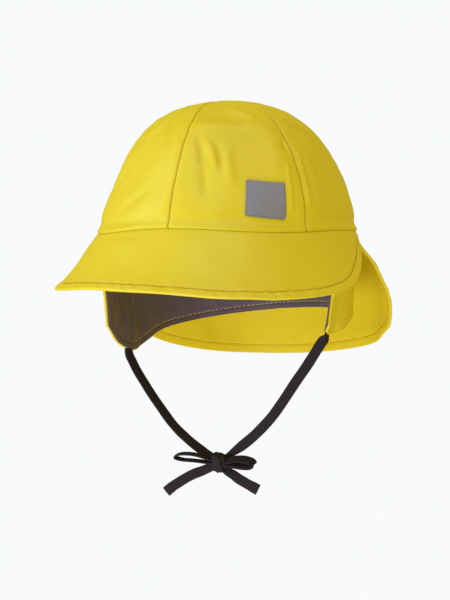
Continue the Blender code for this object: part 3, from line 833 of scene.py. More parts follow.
def make_piece(name, vertices, faces, finish, uv=None, shades=None, ends=()):
    """Object of a mesh of quads, with a UV for each vertex and named values for each vertex."""
    if signed_volume(vertices, faces) < 0:
        faces = faces[:, ::-1]
        ends = [end[::-1] for end in ends]
    mesh = bpy.data.meshes.new(name)
    mesh.from_pydata(vertices.tolist(), [], faces.tolist() + [list(end) for end in ends])
    if uv is not None:
        corners = np.empty(len(mesh.loops), dtype=np.int32)
        mesh.loops.foreach_get("vertex_index", corners)
        layer = mesh.uv_layers.new(name="cloth")
        layer.data.foreach_set("uv", uv[corners].astype(np.float32).ravel())
    for key, values in (shades or {}).items():
        attribute = mesh.attributes.new(key, "FLOAT", "POINT")
        attribute.data.foreach_set("value", values.astype(np.float32).ravel())
    mesh.shade_smooth()
    mesh.materials.append(finish)
    piece = bpy.data.objects.new(name, mesh)
    bpy.context.scene.collection.objects.link(piece)
    return piece


def close_rows(count, length, edge, close_first=0.0, close_last=0.0):
    """Shares from 0 to 1: even steps, with close ones near both ends and inside their rounding."""
    near = np.array([0.0, 0.10, 0.35, 0.75, 1.15]) * edge
    start, end = max(near[-1], close_first), length - max(near[-1], close_last)
    first = np.arange(near[-1] + CLOSE_STEP, start, CLOSE_STEP)
    last = length - np.arange(near[-1] + CLOSE_STEP, length - end, CLOSE_STEP)
    places = np.sort(np.concatenate([near, first, np.linspace(start, end, count), last, length - near]))
    return places[np.diff(places, prepend=-1.0) > 1e-5] / length


def cloth_wall(
    name, outer, inward, wall, finish, rise_out, rise_in, top=0.0, edge=None, groove=None, away=None
):
    """Closed cloth piece: outer face, inner face one wall behind it, and half-round edges.

    outer is a grid of points and inward its normals. The middle layer lies half a wall and top
    under it. rise_out and rise_in lift either face away from the middle. Near a border the half
    thickness is wall / 2 * sqrt(1 - (1 - d)**2), where d is the distance to it over edge. away
    holds the distances to the free borders where the caller has them. The root is rounded too,
    ROOT_ROUNDING times more tightly. groove is kept on the mesh as the painted shade of its
    stitch lines.
    Returns the piece, its flat width and length, its flat area and both faces.
    """
    edge = edge or wall / 2
    rows, columns = outer.shape[:2]
    middle = outer + inward * (top + wall / 2)
    from_left = run_down(middle.swapaxes(0, 1)).T
    from_root = run_down(middle)
    if away is None:
        from_side = np.minimum(from_left, from_left[:, -1:] - from_left)
        away = np.minimum(from_side, from_root[-1:] - from_root)
    away = np.minimum(away, ROOT_ROUNDING * from_root)
    share = np.clip(away / edge, 0, 1)
    round_off = np.sqrt(np.clip(1 - (1 - share) ** 2, 0.0004, 1))
    outer_face = middle - inward * ((wall / 2 + rise_out) * round_off)[..., None]
    inner_face = middle + inward * ((wall / 2 + rise_in) * round_off)[..., None]
    faces = grid_faces(rows, columns)
    count = rows * columns
    index = np.arange(count).reshape(rows, columns)
    border = np.concatenate([index[:, 0], index[-1, 1:], index[-2::-1, -1], index[0, -2:0:-1]])
    following = np.roll(border, -1)
    strip = np.stack([border, following, following + count, border + count], -1)
    every = np.vstack([faces, faces[:, ::-1] + count, strip])
    vertices = np.vstack([outer_face.reshape(-1, 3), inner_face.reshape(-1, 3)])
    uv = np.stack([from_left - from_left[:, -1:] / 2, from_root], -1).reshape(-1, 2)
    back = np.concatenate([np.zeros(count), np.ones(count)])
    groove = np.zeros(outer.shape[:2]) if groove is None else groove
    # groove carries the painted shade of stitch lines and seams to the material
    shades = {"back": back, "edge": np.tile(away.ravel(), 2), "groove": np.tile(groove.ravel(), 2)}
    piece = make_piece(name, vertices, every, finish, np.vstack([uv, uv]), shades)
    downwards = outer[1:, :-1] - outer[:-1, :-1]
    sideways = outer[:-1, 1:] - outer[:-1, :-1]
    quads = np.linalg.norm(np.cross(downwards, sideways), axis=-1)
    width, length = from_left[:, -1].max(), from_root[-1].max()
    area = min(max(quads.sum(), LEAST_FILLED * width * length), width * length)
    return piece, (float(width), float(length)), float(area), outer_face, inner_face


def take_place(piece, node):
    """Puts a piece in its node's place, on the body."""
    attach(piece, BODY)
    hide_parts(node)


def declare_cloth(piece, node):
    take_place(piece, node)


def tube_piece(name, rings, finish, uv):
    """Closed tube through a stack of closed rings, with a flat face on both ends."""
    rows, columns = rings.shape[:2]
    index = np.arange(rows * columns).reshape(rows, columns)
    faces = grid_faces(rows, columns, wrap=True)
    ends = [index[0][::-1], index[-1]]
    return make_piece(name, rings.reshape(-1, 3), faces, finish, uv.reshape(-1, 2), None, ends)


def tape_rings(centre, side, width, thickness, cup=0.0, rise=0.0):
    """Sections of a flat tape: a rectangle with rounded edges, cupped across by cup.

    Across it is width / 2 * cos(t)**0.35 and through it thickness / 2 * sin(t)**0.6, both with
    their signs kept; the middle is lifted by cup * (1 - x**2) and everything by rise.
    """
    along = unit(np.gradient(centre, axis=0))
    side = unit(side - along * dot(side, along))
    lift = np.cross(side, along)
    turn = np.linspace(0, 2 * math.pi, TAPE_SECTION_POINTS, endpoint=False)
    x = np.sign(np.cos(turn)) * np.abs(np.cos(turn)) ** 0.35
    z = np.sign(np.sin(turn)) * np.abs(np.sin(turn)) ** 0.6
    x_place = width[:, None] / 2 * x
    z_place = np.broadcast_to(thickness, width.shape)[:, None] / 2 * z + cup * (1 - x**2) + rise
    rings = centre[:, None] + side[:, None] * x_place[..., None] + lift[:, None] * z_place[..., None]
    run = run_length(centre)
    uv = np.stack([np.broadcast_to(run[:, None], x_place.shape), x_place], -1)
    return rings, uv


def round_ends(centre, width, thickness, edge):
    """Adds a few closer points at both ends, where the tape's thickness falls to its edge."""
    run = run_length(centre)
    near = np.array([0.0, 0.15, 0.5, 1.0]) * edge
    inside = run[(run > 1.3 * edge) & (run < run[-1] - 1.3 * edge)]
    places = np.concatenate([near, inside, run[-1] - near[::-1]])
    centre = np.stack([np.interp(places, run, centre[:, k]) for k in range(3)], -1)
    width = np.interp(places, run, width)
    thickness = np.interp(places, run, np.broadcast_to(thickness, run.shape))
    away = np.minimum(places, run[-1] - places) / edge
    fall = np.sqrt(np.clip(1 - (1 - np.clip(away, 0, 1)) ** 2, 0.05, 1))
    return centre, width, thickness * fall, places


def stitch_shape():
    """Rounded bar from -1 to 1 along X and 1 across: half widths sqrt(1 - x**4) at each ring."""
    sides, rings = 6, 5
    x = np.linspace(-0.98, 0.98, rings)
    half = np.sqrt(1 - x**4)
    turn = np.linspace(0, 2 * math.pi, sides, endpoint=False)
    points = np.stack(
        [
            np.broadcast_to(x[:, None], (rings, sides)),
            half[:, None] * np.cos(turn),
            half[:, None] * np.sin(turn),
        ],
        -1,
    )
    faces = grid_faces(rings, sides, wrap=True)
    first, last = np.arange(sides), np.arange(sides) + (rings - 1) * sides
    caps = [first[[0, 3, 2, 1]], first[[0, 5, 4, 3]], last[[0, 1, 2, 3]], last[[0, 3, 4, 5]]]
    return points.reshape(-1, 3), np.vstack([faces, caps])


def stitch_row(name, line, outward, finish, cloth):
    """One mesh of even stitches along a line that lies on the cloth, each sunk a little in it."""
    run = run_length(line)
    pitch = cloth.stitch_length + cloth.stitch_gap
    starts = np.arange(0.5 * pitch, run[-1] - 0.5 * pitch, pitch)
    middle = np.stack([np.interp(starts, run, line[:, k]) for k in range(3)], -1)
    up = unit(np.stack([np.interp(starts, run, outward[:, k]) for k in range(3)], -1))
    ahead = np.stack([np.interp(starts + pitch / 4, run, line[:, k]) for k in range(3)], -1)
    along = unit(ahead - middle)
    side = unit(np.cross(up, along))
    up = np.cross(along, side)
    shape, shape_faces = stitch_shape()
    radius = cloth.thread / 2
    middle = middle + up * radius * (1 - 2 * STITCH_SINK)
    points = (
        middle[:, None]
        + along[:, None] * (shape[:, 0] * cloth.stitch_length / 2)[None, :, None]
        + side[:, None] * (shape[:, 1] * radius)[None, :, None]
        + up[:, None] * (shape[:, 2] * radius)[None, :, None]
    )
    faces = shape_faces[None] + (np.arange(len(starts)) * len(shape))[:, None, None]
    piece = make_piece(name, points.reshape(-1, 3), faces.reshape(-1, 4), finish)
    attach(piece, BODY)
    return piece


def sheet_border(surface):
    """Free border of a sheet: down its first side, along its edge and up its last side."""
    rise = np.linspace(0, 1, 120)
    run = np.linspace(0, 1, 700)
    down = surface(np.zeros_like(rise), rise)
    along = surface(run, np.ones_like(run))
    up = surface(np.ones_like(rise), rise[::-1])
    return evenly(np.vstack([down, along[1:], up[1:]]), BORDER_POINTS)


def edge_between(surface, first, last):
    """Part of a sheet's lower edge, between two shares along it."""
    run = np.linspace(first, last, 500)
    return evenly(surface(run, np.ones_like(run)), 700)


def stitch_line(border, face, inward, inset, side):
    """Line one inset inside a border, and its outward direction, on one face of a cloth grid.

    Each border point moves across the cloth by inset, along the cross product of the normal and
    the border. The line is smoothed over a few millimetres and set on the nearest face point.
    """
    flat, normals = face.reshape(-1, 3), (inward * -side).reshape(-1, 3)
    nearest = nearest_points(border, flat)
    tangent = unit(np.gradient(border, axis=0))
    across = unit(np.cross(normals[nearest], tangent)) * side
    towards = np.sign(dot(across, flat.mean(0) - border).mean())
    line = border + across * inset * towards
    line = smoothed(line, 12)
    line = evenly(line, SEAM_POINTS)
    nearest = nearest_points(line, flat)
    up = unit(smoothed(normals[nearest], 3))
    line = line + up * dot(flat[nearest] - line, up)
    return smoothed(line, 2), up


def nearest_points(points, targets):
    """Number of the target that is nearest to each point."""
    square = (points**2).sum(1)[:, None] + (targets**2).sum(1) - 2 * points @ targets.T
    return square.argmin(1)


def smoothed(line, half_window):
    """Running mean over a line of points, with its ends kept."""
    before, after = (np.repeat(end, half_window, 0) for end in (line[:1], line[-1:]))
    padded = np.concatenate([before, line, after])
    total = np.cumsum(np.vstack([np.zeros((1, line.shape[1])), padded]), axis=0)
    window = 2 * half_window + 1
    return (total[window:] - total[:-window]) / window


class Value:
    """A shader socket whose arithmetic adds Math nodes to its material."""

    def __init__(self, finish, socket):
        self.finish = finish
        self.socket = socket

    def maths(self, operation, first, second):
        return self.finish.node("ShaderNodeMath", {"operation": operation}, {0: first, 1: second})

    def __add__(self, other):
        return self.maths("ADD", self, other)

    def __radd__(self, other):
        return self.maths("ADD", other, self)

    def __mul__(self, other):
        return self.maths("MULTIPLY", self, other)


class Finish:
    """A material of one Principled shader, and the nodes that feed it."""

    def __init__(self, name, **constants):
        self.material = bpy.data.materials.new(name)
        self.material.use_nodes = True
        self.tree = self.material.node_tree
        self.shader = self.tree.nodes["Principled BSDF"]
        for key, value in constants.items():
            socket = key.replace("_", " ").title().replace("Ior", "IOR")
            self.shader.inputs[socket].default_value = value

    def node(self, kind, settings=None, values=None, output=0):
        """Adds a node: its settings are set first, then the values or links of its sockets."""
        made = self.tree.nodes.new(kind)
        for key, value in (settings or {}).items():
            if key == "stops":
                self.set_stops(made, value)
            else:
                setattr(made, key, value)
        for key, value in (values or {}).items():
            if isinstance(value, Value):
                self.tree.links.new(value.socket, made.inputs[key])
            else:
                made.inputs[key].default_value = value
        return Value(self, made.outputs[output])

    @staticmethod
    def set_stops(made, stops):
        elements = made.color_ramp.elements
        while len(elements) < len(stops):
            elements.new(0.5)
        for element, (place, level) in zip(elements, stops):
            element.position = place
            element.color = (level, level, level, 1.0)

    def coordinates(self):
        return self.node("ShaderNodeTexCoord", output="Object")

    def attribute(self, name):
        return self.node("ShaderNodeAttribute", {"attribute_name": name}, output="Fac")

    def stretched(self, vector, scale):
        return self.node("ShaderNodeMapping", None, {"Vector": vector, "Scale": scale})

    def noise(self, vector, scale, detail=2.0, roughness=0.5):
        values = {"Vector": vector, "Scale": scale, "Detail": detail, "Roughness": roughness}
        return self.node("ShaderNodeTexNoise", None, values, "Fac")

    def ramp(self, value, *stops):
        return self.node("ShaderNodeValToRGB", {"stops": stops}, {"Fac": value})

    def mixed(self, factor, first, second):
        """Colour between two, by a factor; a plain colour has three numbers."""
        values = {0: factor}
        for key, colour in ((6, first), (7, second)):
            values[key] = colour if isinstance(colour, Value) else (*colour, 1.0)
        return self.node("ShaderNodeMix", {"data_type": "RGBA"}, values, 2)

    def shaded(self, factor, colour, darker, lighter):
        """One colour from its darker to its lighter shade, by a factor."""
        return self.mixed(factor, shade_of(colour, darker), shade_of(colour, lighter))

    def bump(self, height, distance, strength, under=None):
        values = {"Height": height, "Distance": distance, "Strength": strength}
        if under is not None:
            values["Normal"] = under
        return self.node("ShaderNodeBump", None, values)

    def feed(self, socket, value):
        self.tree.links.new(value.socket, self.shader.inputs[socket])


def shade_of(colour, factor):
    """A colour with all its channels multiplied, at most 1."""
    return tuple(min(channel * factor, 1.0) for channel in colour)


def coated_cloth(colours):
    """Smooth coated face with a fine grain; the back is the plain, matt knit it is coated on."""
    finish = Finish("coated_fabric_yellow", specular_ior_level=0.70)
    place = finish.coordinates()
    back = finish.attribute("back")
    clouds = finish.noise(place, 26, 3)
    grain = finish.noise(place, 2100, 2)
    coating = finish.shaded(clouds, colours.coating, 0.97, 1.03)
    knit = finish.shaded(grain, colours.backing, 0.86, 1.08)
    cloth = finish.mixed(back, coating, knit)
    # Painted shade: the base colour darkens towards the groove's painted shade colour along stitch lines
    # and seams
    finish.feed("Base Color", finish.mixed(finish.attribute("groove"), cloth, PAINTED_GROOVE_SHADE))
    finish.feed("Roughness", 0.43 + finish.noise(place, 55, 3) * 0.08 + back * 0.28)
    waves = finish.noise(place, 130, 3)
    soft = finish.bump(waves, 0.0006, 0.30)
    finish.feed("Normal", finish.bump(grain, 0.00004, 0.3, soft))
    return finish.material


def lining_cloth(colours):
    """Brushed knit: short upright streaks, a soft nap and paler crests."""
    finish = Finish("lining_dark_grey", specular_ior_level=0.40, sheen_weight=0.20, sheen_roughness=0.45)
    place = finish.coordinates()
    streaks = finish.noise(finish.stretched(place, (1.0, 1.0, 0.16)), 900, 3, 0.6)
    nap = finish.noise(place, 2600, 2)
    clouds = finish.noise(place, 60, 2)
    shade = streaks * 0.55 + clouds * 0.45
    finish.feed("Base Color", finish.shaded(shade, colours.lining, 0.74, 1.26))
    finish.feed("Roughness", 0.50 + nap * 0.14)
    finish.feed("Normal", finish.bump(nap, 0.00010, 0.5, finish.bump(streaks, 0.00018, 0.5)))
    return finish.material


def reflective_film(colours):
    """Grey bead film: almost even, with a fine speckle and a slightly darker pressed edge."""
    finish = Finish("reflective_film", specular_ior_level=0.5)
    place = finish.coordinates()
    beads = finish.noise(place, 3200, 1)
    clouds = finish.noise(place, 90, 2)
    edge = finish.ramp(finish.attribute("edge") * 900.0, (0.0, 0.0), (0.75, 0.0), (0.95, 1.0))
    speckled = finish.shaded(beads * 0.6 + clouds * 0.4, colours.film, 0.90, 1.10)
    finish.feed("Base Color", finish.mixed(edge, shade_of(colours.film, 0.84), speckled))
    finish.feed("Roughness", 0.40 + beads * 0.14)
    finish.feed("Metallic", 0.18 + beads * 0.10)
    finish.feed("Normal", finish.bump(beads, 0.00004, 0.4))
    return finish.material


def woven_tape(colours):
    """Plain woven tape: ribs across it and finer ends along it, in its own UV map."""
    finish = Finish("tie_fabric_black", specular_ior_level=0.12)
    cloth = finish.node("ShaderNodeUVMap", {"uv_map": "cloth"})
    across, along = (
        finish.node(
            "ShaderNodeTexWave",
            {"wave_type": "BANDS", "bands_direction": direction},
            {"Vector": cloth, "Scale": scale, "Distortion": distortion, "Detail": 1.0, "Detail Scale": 2.0},
            "Fac",
        )
        for direction, scale, distortion in (("X", 260.0, 0.6), ("Y", 330.0, 0.4))
    )
    weave = across * along
    fuzz = finish.noise(finish.coordinates(), 1500, 2)
    shade = weave * 0.5 + fuzz * 0.5
    finish.feed("Base Color", finish.shaded(shade, colours.tape, 0.75, 1.30))
    finish.feed("Roughness", 0.78 + fuzz * 0.12)
    finish.feed("Normal", finish.bump(weave, 0.00007, 0.45, finish.bump(fuzz, 0.00006, 0.2)))
    return finish.material


def thread_finish(name, colour):
    """Twisted thread: fine light and dark spots."""
    finish = Finish(name, specular_ior_level=0.4)
    place = finish.coordinates()
    twist = finish.noise(place, 2400, 1)
    finish.feed("Base Color", finish.shaded(twist, colour, 0.78, 1.12))
    finish.feed("Roughness", 0.52 + twist * 0.12)
    finish.feed("Normal", finish.bump(twist, 0.00005, 0.5))
    return finish.material


FINISHES = {
    "coated_fabric_yellow": coated_cloth,
    "lining_dark_grey": lining_cloth,
    "reflective_film": reflective_film,
    "tie_fabric_black": woven_tape,
    "thread_yellow": lambda colours: thread_finish("thread_yellow", colours.thread),
    "thread_pale": lambda colours: thread_finish("thread_pale", colours.lining_thread),
}


def finish_of(context, name):
    """The named material, made the first time that a piece asks for it."""
    made = getattr(finish_of, "made", {})
    finish_of.made = made
    if name not in made:
        made[name] = FINISHES[name](context.scene.hat_colours)
    return made[name]


def hem_relief(points, border, hem, cloth, seed):
    """Lift of a turned hem: a step at its stitch line, a groove there, and slanted puckers."""
    away, run = distance_to_line(points, border)
    step = cloth.hem_rise * (1 - smooth_step(away, hem + HEM_STEP[0], hem + HEM_STEP[1]))
    belly = HEM_BELLY * np.sin(math.pi * np.clip(away / hem, 0, 1))
    groove = ridge(away, (HEM_GROOVE, hem, HEM_GROOVE_WIDTH))
    slanted = run + HEM_PUCKER_SLANT * away
    pucker = HEM_PUCKER * border_ripples(slanted, away, 0.4, HEM_PUCKER_LENGTH, seed)
    pucker = pucker * hump(away, 0.62 * hem, 0.55 * hem)
    outside = OUTSIDE_PUCKER * border_ripples(run, away, 0.3, OUTSIDE_PUCKER_LENGTH, seed + 1)
    outside = outside * hump(away, 1.4 * hem, hem)
    return step + belly + groove + pucker + outside, away


def sheet_creases(points, surface, creases):
    """Sum of a sheet's creases, each between two places given as shares along and down it."""
    total = np.zeros(points.shape[:-1])
    for u1, v1, u2, v2, width, depth in creases:
        ends = surface(np.array([u1, u2]), np.array([v1, v2]))
        total = total + crease(points, ends[0], ends[1], width, depth)
    return total


def sheet_points(surface, grid, edge, side_trim=0.0, edge_trim=0.0):
    """Grid of a sheet's points and inward normals, closer at its rounded borders.

    A normal is found by small steps. At the sides and the edge they would leave the formula, so
    there the normal is that of the nearest even place.
    """
    columns, rows = grid
    run = run_length(surface(np.linspace(0, 1, 200), np.ones(200)))[-1]
    drop = run_length(surface(np.full(50, 0.5), np.linspace(0, 1, 50)))[-1]
    u = side_trim + close_rows(columns, run, edge, CLOSE_AT_SIDES, CLOSE_AT_SIDES) * (1 - 2 * side_trim)
    v = close_rows(rows, drop, edge, CLOSE_AT_ROOT, CLOSE_AT_EDGE) * (1 - edge_trim)
    u, v = np.meshgrid(u, v)
    even_u, even_v = np.clip(u, *EVEN_SIDES), np.minimum(v, EVEN_ABOVE)
    return surface(u, v), inward_direction(surface, even_u, even_v)


class HAT_OT_studio(bpy.types.Operator):
    """Make the pale floor with its rounded backdrop, the soft lights and the photo's camera"""

    bl_idname = "hat.studio"
    bl_label = "Studio"

    def execute(self, context):
        studio = context.scene.hat_studio
        self.backdrop(studio, context.scene.hat_colours)
        self.lights(studio)
        self.camera(context, studio)
        world = bpy.data.worlds.new("studio_air")
        world.use_nodes = True
        background = world.node_tree.nodes["Background"]
        background.inputs["Color"].default_value = AIR_COLOUR
        background.inputs["Strength"].default_value = studio.ambient
        context.scene.world = world
        context.scene.view_settings.view_transform = "Standard"
        context.scene.view_settings.look = "None"
        return {"FINISHED"}

    @staticmethod
    def backdrop(studio, colours):
        """Round floor whose rim curves up into a wall: a line turned about the Z axis."""
        turn = np.linspace(0, math.pi / 2, BEND_RINGS)[1:]
        level = np.linspace(0.001, FLOOR_RADIUS, FLOOR_RINGS)
        bend = FLOOR_RADIUS + BEND_RADIUS * np.sin(turn)
        out = np.concatenate([level, bend, [FLOOR_RADIUS + BEND_RADIUS]])
        up = np.concatenate([np.zeros(FLOOR_RINGS), BEND_RADIUS * (1 - np.cos(turn)), [WALL_TOP]])
        up = up + studio.floor
        around = np.linspace(0, 2 * math.pi, BACKDROP_SIDES, endpoint=False)
        rings = np.stack(
            [
                out[:, None] * np.cos(around),
                out[:, None] * np.sin(around),
                np.broadcast_to(up[:, None], (len(up), len(around))),
            ],
            -1,
        )
        finish = Finish("studio_paper", roughness=1.0, specular_ior_level=0.0, emission_strength=1.0)
        finish.shader.inputs["Base Color"].default_value = (0.0, 0.0, 0.0, 1.0)
        finish.shader.inputs["Emission Color"].default_value = (*colours.studio, 1.0)
        faces = grid_faces(len(up), len(around), wrap=True)
        wall = make_piece("studio_backdrop", rings.reshape(-1, 3), faces[:, ::-1], finish.material)
        wall.visible_diffuse = False
        wall.visible_glossy = False
        wall.visible_shadow = False

    @staticmethod
    def lights(studio):
        """Area lights, each aimed at the hat: name, place, width, height, power."""
        rows = (
            ("key_left", (-1.38, -0.72, 0.34), 0.9, 1.2, studio.key),
            ("key_high", (-1.00, -0.75, 1.05), 1.0, 1.0, studio.high),
            ("fill_under", (-0.10, -1.05, -0.82), 1.3, 1.0, studio.under),
            ("fill_top", (0.35, -0.65, 1.45), 1.0, 1.0, studio.top),
        )
        for name, place, width, height, power in rows:
            data = bpy.data.lights.new(name, "AREA")
            data.shape = "RECTANGLE"
            data.size, data.size_y = width, height
            data.energy = power
            data.color = LIGHT_COLOUR
            lamp = bpy.data.objects.new(name, data)
            lamp.visible_camera = False
            towards = unit(np.array(AIM) - place)
            right = unit(np.cross(towards, (0.0, 0.0, 1.0)))
            up = np.cross(right, towards)
            matrix = np.eye(4)
            matrix[:3, 0], matrix[:3, 1], matrix[:3, 2], matrix[:3, 3] = right, up, -towards, place
            lamp.matrix_world = matrix.T
            bpy.context.scene.collection.objects.link(lamp)

    @staticmethod
    def camera(context, studio):
        """Camera whose scale at the hat's centre is the photo's."""
        turn, tilt = studio.azimuth, studio.elevation
        right = np.array([math.cos(turn), math.sin(turn), 0.0])
        back = np.array([math.sin(turn) * math.cos(tilt), -math.cos(turn) * math.cos(tilt), math.sin(tilt)])
        up = np.cross(back, right)
        target = np.array([0.0, 0.0, VIEW_CENTRE_HEIGHT]) - right * (VIEW_SIDE_SHIFT * SCALE_AT_CENTRE)
        matrix = np.eye(4)
        matrix[:3, 0], matrix[:3, 1], matrix[:3, 2] = right, up, back
        matrix[:3, 3] = target + back * studio.distance
        data = bpy.data.cameras.new("photo_camera")
        data.sensor_fit = "VERTICAL"
        data.sensor_height = 36.0
        data.lens = data.sensor_height * studio.distance / (SCALE_AT_CENTRE * IMAGE_HEIGHT)
        data.clip_start = 0.01
        camera = bpy.data.objects.new("photo_camera", data)
        camera.matrix_world = matrix.T
        context.scene.collection.objects.link(camera)
        context.scene.camera = camera


def curtain_bend(points):
    """Folds that the curtain's shell and lining share."""
    soft = wave_height(points, CURTAIN_WAVES)
    return sheet_creases(points, curtain_surface, CURTAIN_CREASES) + soft


def tucked_end(start):
    """Points between shell and lining above the flap's edge nearest to start, and the normal there."""
    u, v = np.meshgrid(np.linspace(0, 1, 400), TUCK_ROWS)
    layer = curtain_surface(u, v)
    inward = inward_direction(curtain_surface, u, v)
    layer = layer + inward * (SHELL_WALL + CLEARANCE / 2 - curtain_bend(layer))[..., None]
    column = np.linalg.norm(layer[-1] - start, axis=-1).argmin()
    return layer[:2, column], inward[-1, column]


def tie_piece(context, name, node, route, face_towards, is_tail):
    """Flat tape along a route, narrowed where the knot grips it.

    A tie starts between shell and lining and ends inside the knot, a tail starts there. Returns
    the piece, its path and its length.
    """
    cloth = context.scene.hat_cloth
    heart = np.array(KNOT_CENTRE) + (np.array(route[0 if is_tail else -1]) - KNOT_CENTRE) * HEART_SHARE
    tucked, flat_to = ([], face_towards) if is_tail else tucked_end(np.array(route[0]))
    points = [heart, *route] if is_tail else [*tucked, *route, heart]
    rough = spline(points, np.linspace(0, 1, 600))
    length = run_length(rough)[-1]
    path = evenly(rough, 36)
    centre = evenly(rough, int(length * TAPE_SAMPLES_PER_METRE))
    run = run_length(centre)
    from_knot = run if is_tail else run[-1] - run
    grip = 1 - smooth_step(from_knot, GATHER_FROM, GATHER_FROM + GATHER_LENGTH)
    kept = TAIL_GATHERED_SHARE if is_tail else GATHERED_SHARE
    width = TIE_WIDTH * (1 - (1 - kept) * grip) * (1 + wave_height(run[:, None], TIE_WIDTH_WAVES))
    thickness = cloth.tape * (1 + GATHERED_THICKER * grip)
    if is_tail:
        hem = 1 - smooth_step(run[-1] - run, *TAIL_HEM)
        thickness = thickness + TAIL_HEM_THICKER * hem
        width = width * (1 + TAIL_HEM_WIDER * hem)
    else:
        thickness = thickness * (TUCKED_SHARE + (1 - TUCKED_SHARE) * smooth_step(run, *TIE_FULL_AT))
    centre, width, thickness, places = round_ends(centre, width, thickness, cloth.tape * TAPE_ROUNDING)
    turned = smooth_step(places, *TIE_FLAT_TO)[:, None]
    flat_to = np.array(flat_to) * np.sign(np.dot(flat_to, face_towards))
    face = flat_to * (1 - turned) + unit(np.array(face_towards)) * turned
    side = np.cross(np.gradient(centre, axis=0), face)
    wave = wave_height(places[:, None], TIE_WAVES) * smooth_step(places, *TIE_WAVY_FROM)
    rings, uv = tape_rings(centre, side, width, thickness, cup=TIE_CUP, rise=wave[:, None])
    piece = tube_piece(name, rings, finish_of(context, "tie_fabric_black"), uv)
    take_place(piece, node)
    return piece, path, length


def squared(value):
    """Squares off a sine or cosine, so that a circle bulges towards its corners."""
    return np.sign(value) * np.abs(value) ** KNOT_SQUARENESS


def knot_piece(context):
    """Squared ellipsoid, with a tilted band over it and ribs as wound tape has.

    Its half sizes are multiplied by sines and cosines raised to KNOT_SQUARENESS, signs kept.
    """
    turns, levels = KNOT_GRID
    around = np.linspace(0, 2 * math.pi, turns, endpoint=False)
    level = np.linspace(-math.pi / 2 + KNOT_POLE, math.pi / 2 - KNOT_POLE, levels)[:, None]
    shape = np.stack(
        [
            squared(np.cos(around)) * squared(np.cos(level)) * KNOT_WIDTH / 2,
            squared(np.sin(around)) * squared(np.cos(level)) * KNOT_DEPTH / 2,
            np.broadcast_to(squared(np.sin(level)) * KNOT_HEIGHT / 2, (levels, turns)),
        ],
        -1,
    )
    band = np.abs(shape[..., 0] + BAND_TILT * shape[..., 2]) / (BAND_SHARE * KNOT_WIDTH)
    lift = BAND_RISE * (1 - smooth_step(band, 0.85, 1.12)) - BAND_GROOVE * hump(band, 1.15, 0.12)
    ribs = KNOT_RIB * np.sin(shape[..., 0] * 2 * math.pi / KNOT_RIB_SPACING + shape[..., 2] * 400)
    folds = wave_height(shape, KNOT_WAVES)
    points = shape + unit(shape) * (lift + ribs + folds)[..., None] + np.array(KNOT_CENTRE)
    uv = np.stack([shape[..., 2], shape[..., 0]], -1)
    piece = tube_piece("bow_knot_tape", points, finish_of(context, "tie_fabric_black"), uv)
    take_place(piece, "bow_knot")


class HAT_OT_ties(bpy.types.Operator):
    """Make both ties from the ear flaps' tips to the knot"""

    bl_idname = "hat.ties"
    bl_label = "Ties"

    def execute(self, context):
        on_left = ("bow_knot_tape", "bow_loop_left_tape", "bow_tail_left_tape")
        on_right = ("bow_loop_right_tape", "bow_tail_right_tape")
        rows = (
            ("tie_left_tape", "tie_left", TIE_ROUTE_LEFT, TIE_FACE_LEFT, on_left),
            ("tie_right_tape", "tie_right", TIE_ROUTE_RIGHT, TIE_FACE_RIGHT, on_right),
        )
        for name, node, route, face_towards, on_it in rows:
            piece, path, length = tie_piece(context, name, node, route, face_towards, False)
        return {"FINISHED"}


def loop_piece(context, name, node, direction, reach, shape, twist, height):
    """Teardrop of tape that leaves the knot's side and comes back to it."""
    cloth = context.scene.hat_cloth
    out, up = spline(shape, np.linspace(0, 1, 400)).T * reach
    rough = np.array(KNOT_CENTRE) + np.stack([direction * out, out * 0 - LOOP_FORWARD, up * height], -1)
    centre = evenly(rough, 150)
    run = run_length(centre)
    from_knot = np.minimum(run, run[-1] - run)
    width = TIE_WIDTH * (LOOP_NARROW + (1 - LOOP_NARROW) * smooth_step(from_knot, 0, LOOP_WIDE_AT))
    side = np.broadcast_to(np.array(twist) * (direction, 1, 1), centre.shape)
    rings, uv = tape_rings(centre, side, width, np.full(len(run), cloth.tape), cup=LOOP_CUP)
    piece = tube_piece(name, rings, finish_of(context, "tie_fabric_black"), uv)
    take_place(piece, node)


class HAT_OT_bow(bpy.types.Operator):
    """Make the bow: knot with its wrap, both loops and both tails"""

    bl_idname = "hat.bow"
    bl_label = "Bow"

    def execute(self, context):
        knot_piece(context)
        rows = (
            ("bow_loop_left", 1, LOOP_REACH_LEFT, LOOP_ROUTE_LEFT, LOOP_TWIST_LEFT, LOOP_HEIGHT_LEFT),
            ("bow_loop_right", -1, LOOP_REACH_RIGHT, LOOP_ROUTE_RIGHT, LOOP_TWIST_RIGHT, LOOP_HEIGHT_RIGHT),
        )
        for node, direction, reach, shape, twist, height in rows:
            loop_piece(context, f"{node}_tape", node, direction, reach, shape, twist, height)
        for node, route in (("bow_tail_left", TAIL_ROUTE_LEFT), ("bow_tail_right", TAIL_ROUTE_RIGHT)):
            tie_piece(context, f"{node}_tape", node, route, TAIL_FACE, True)
        return {"FINISHED"}


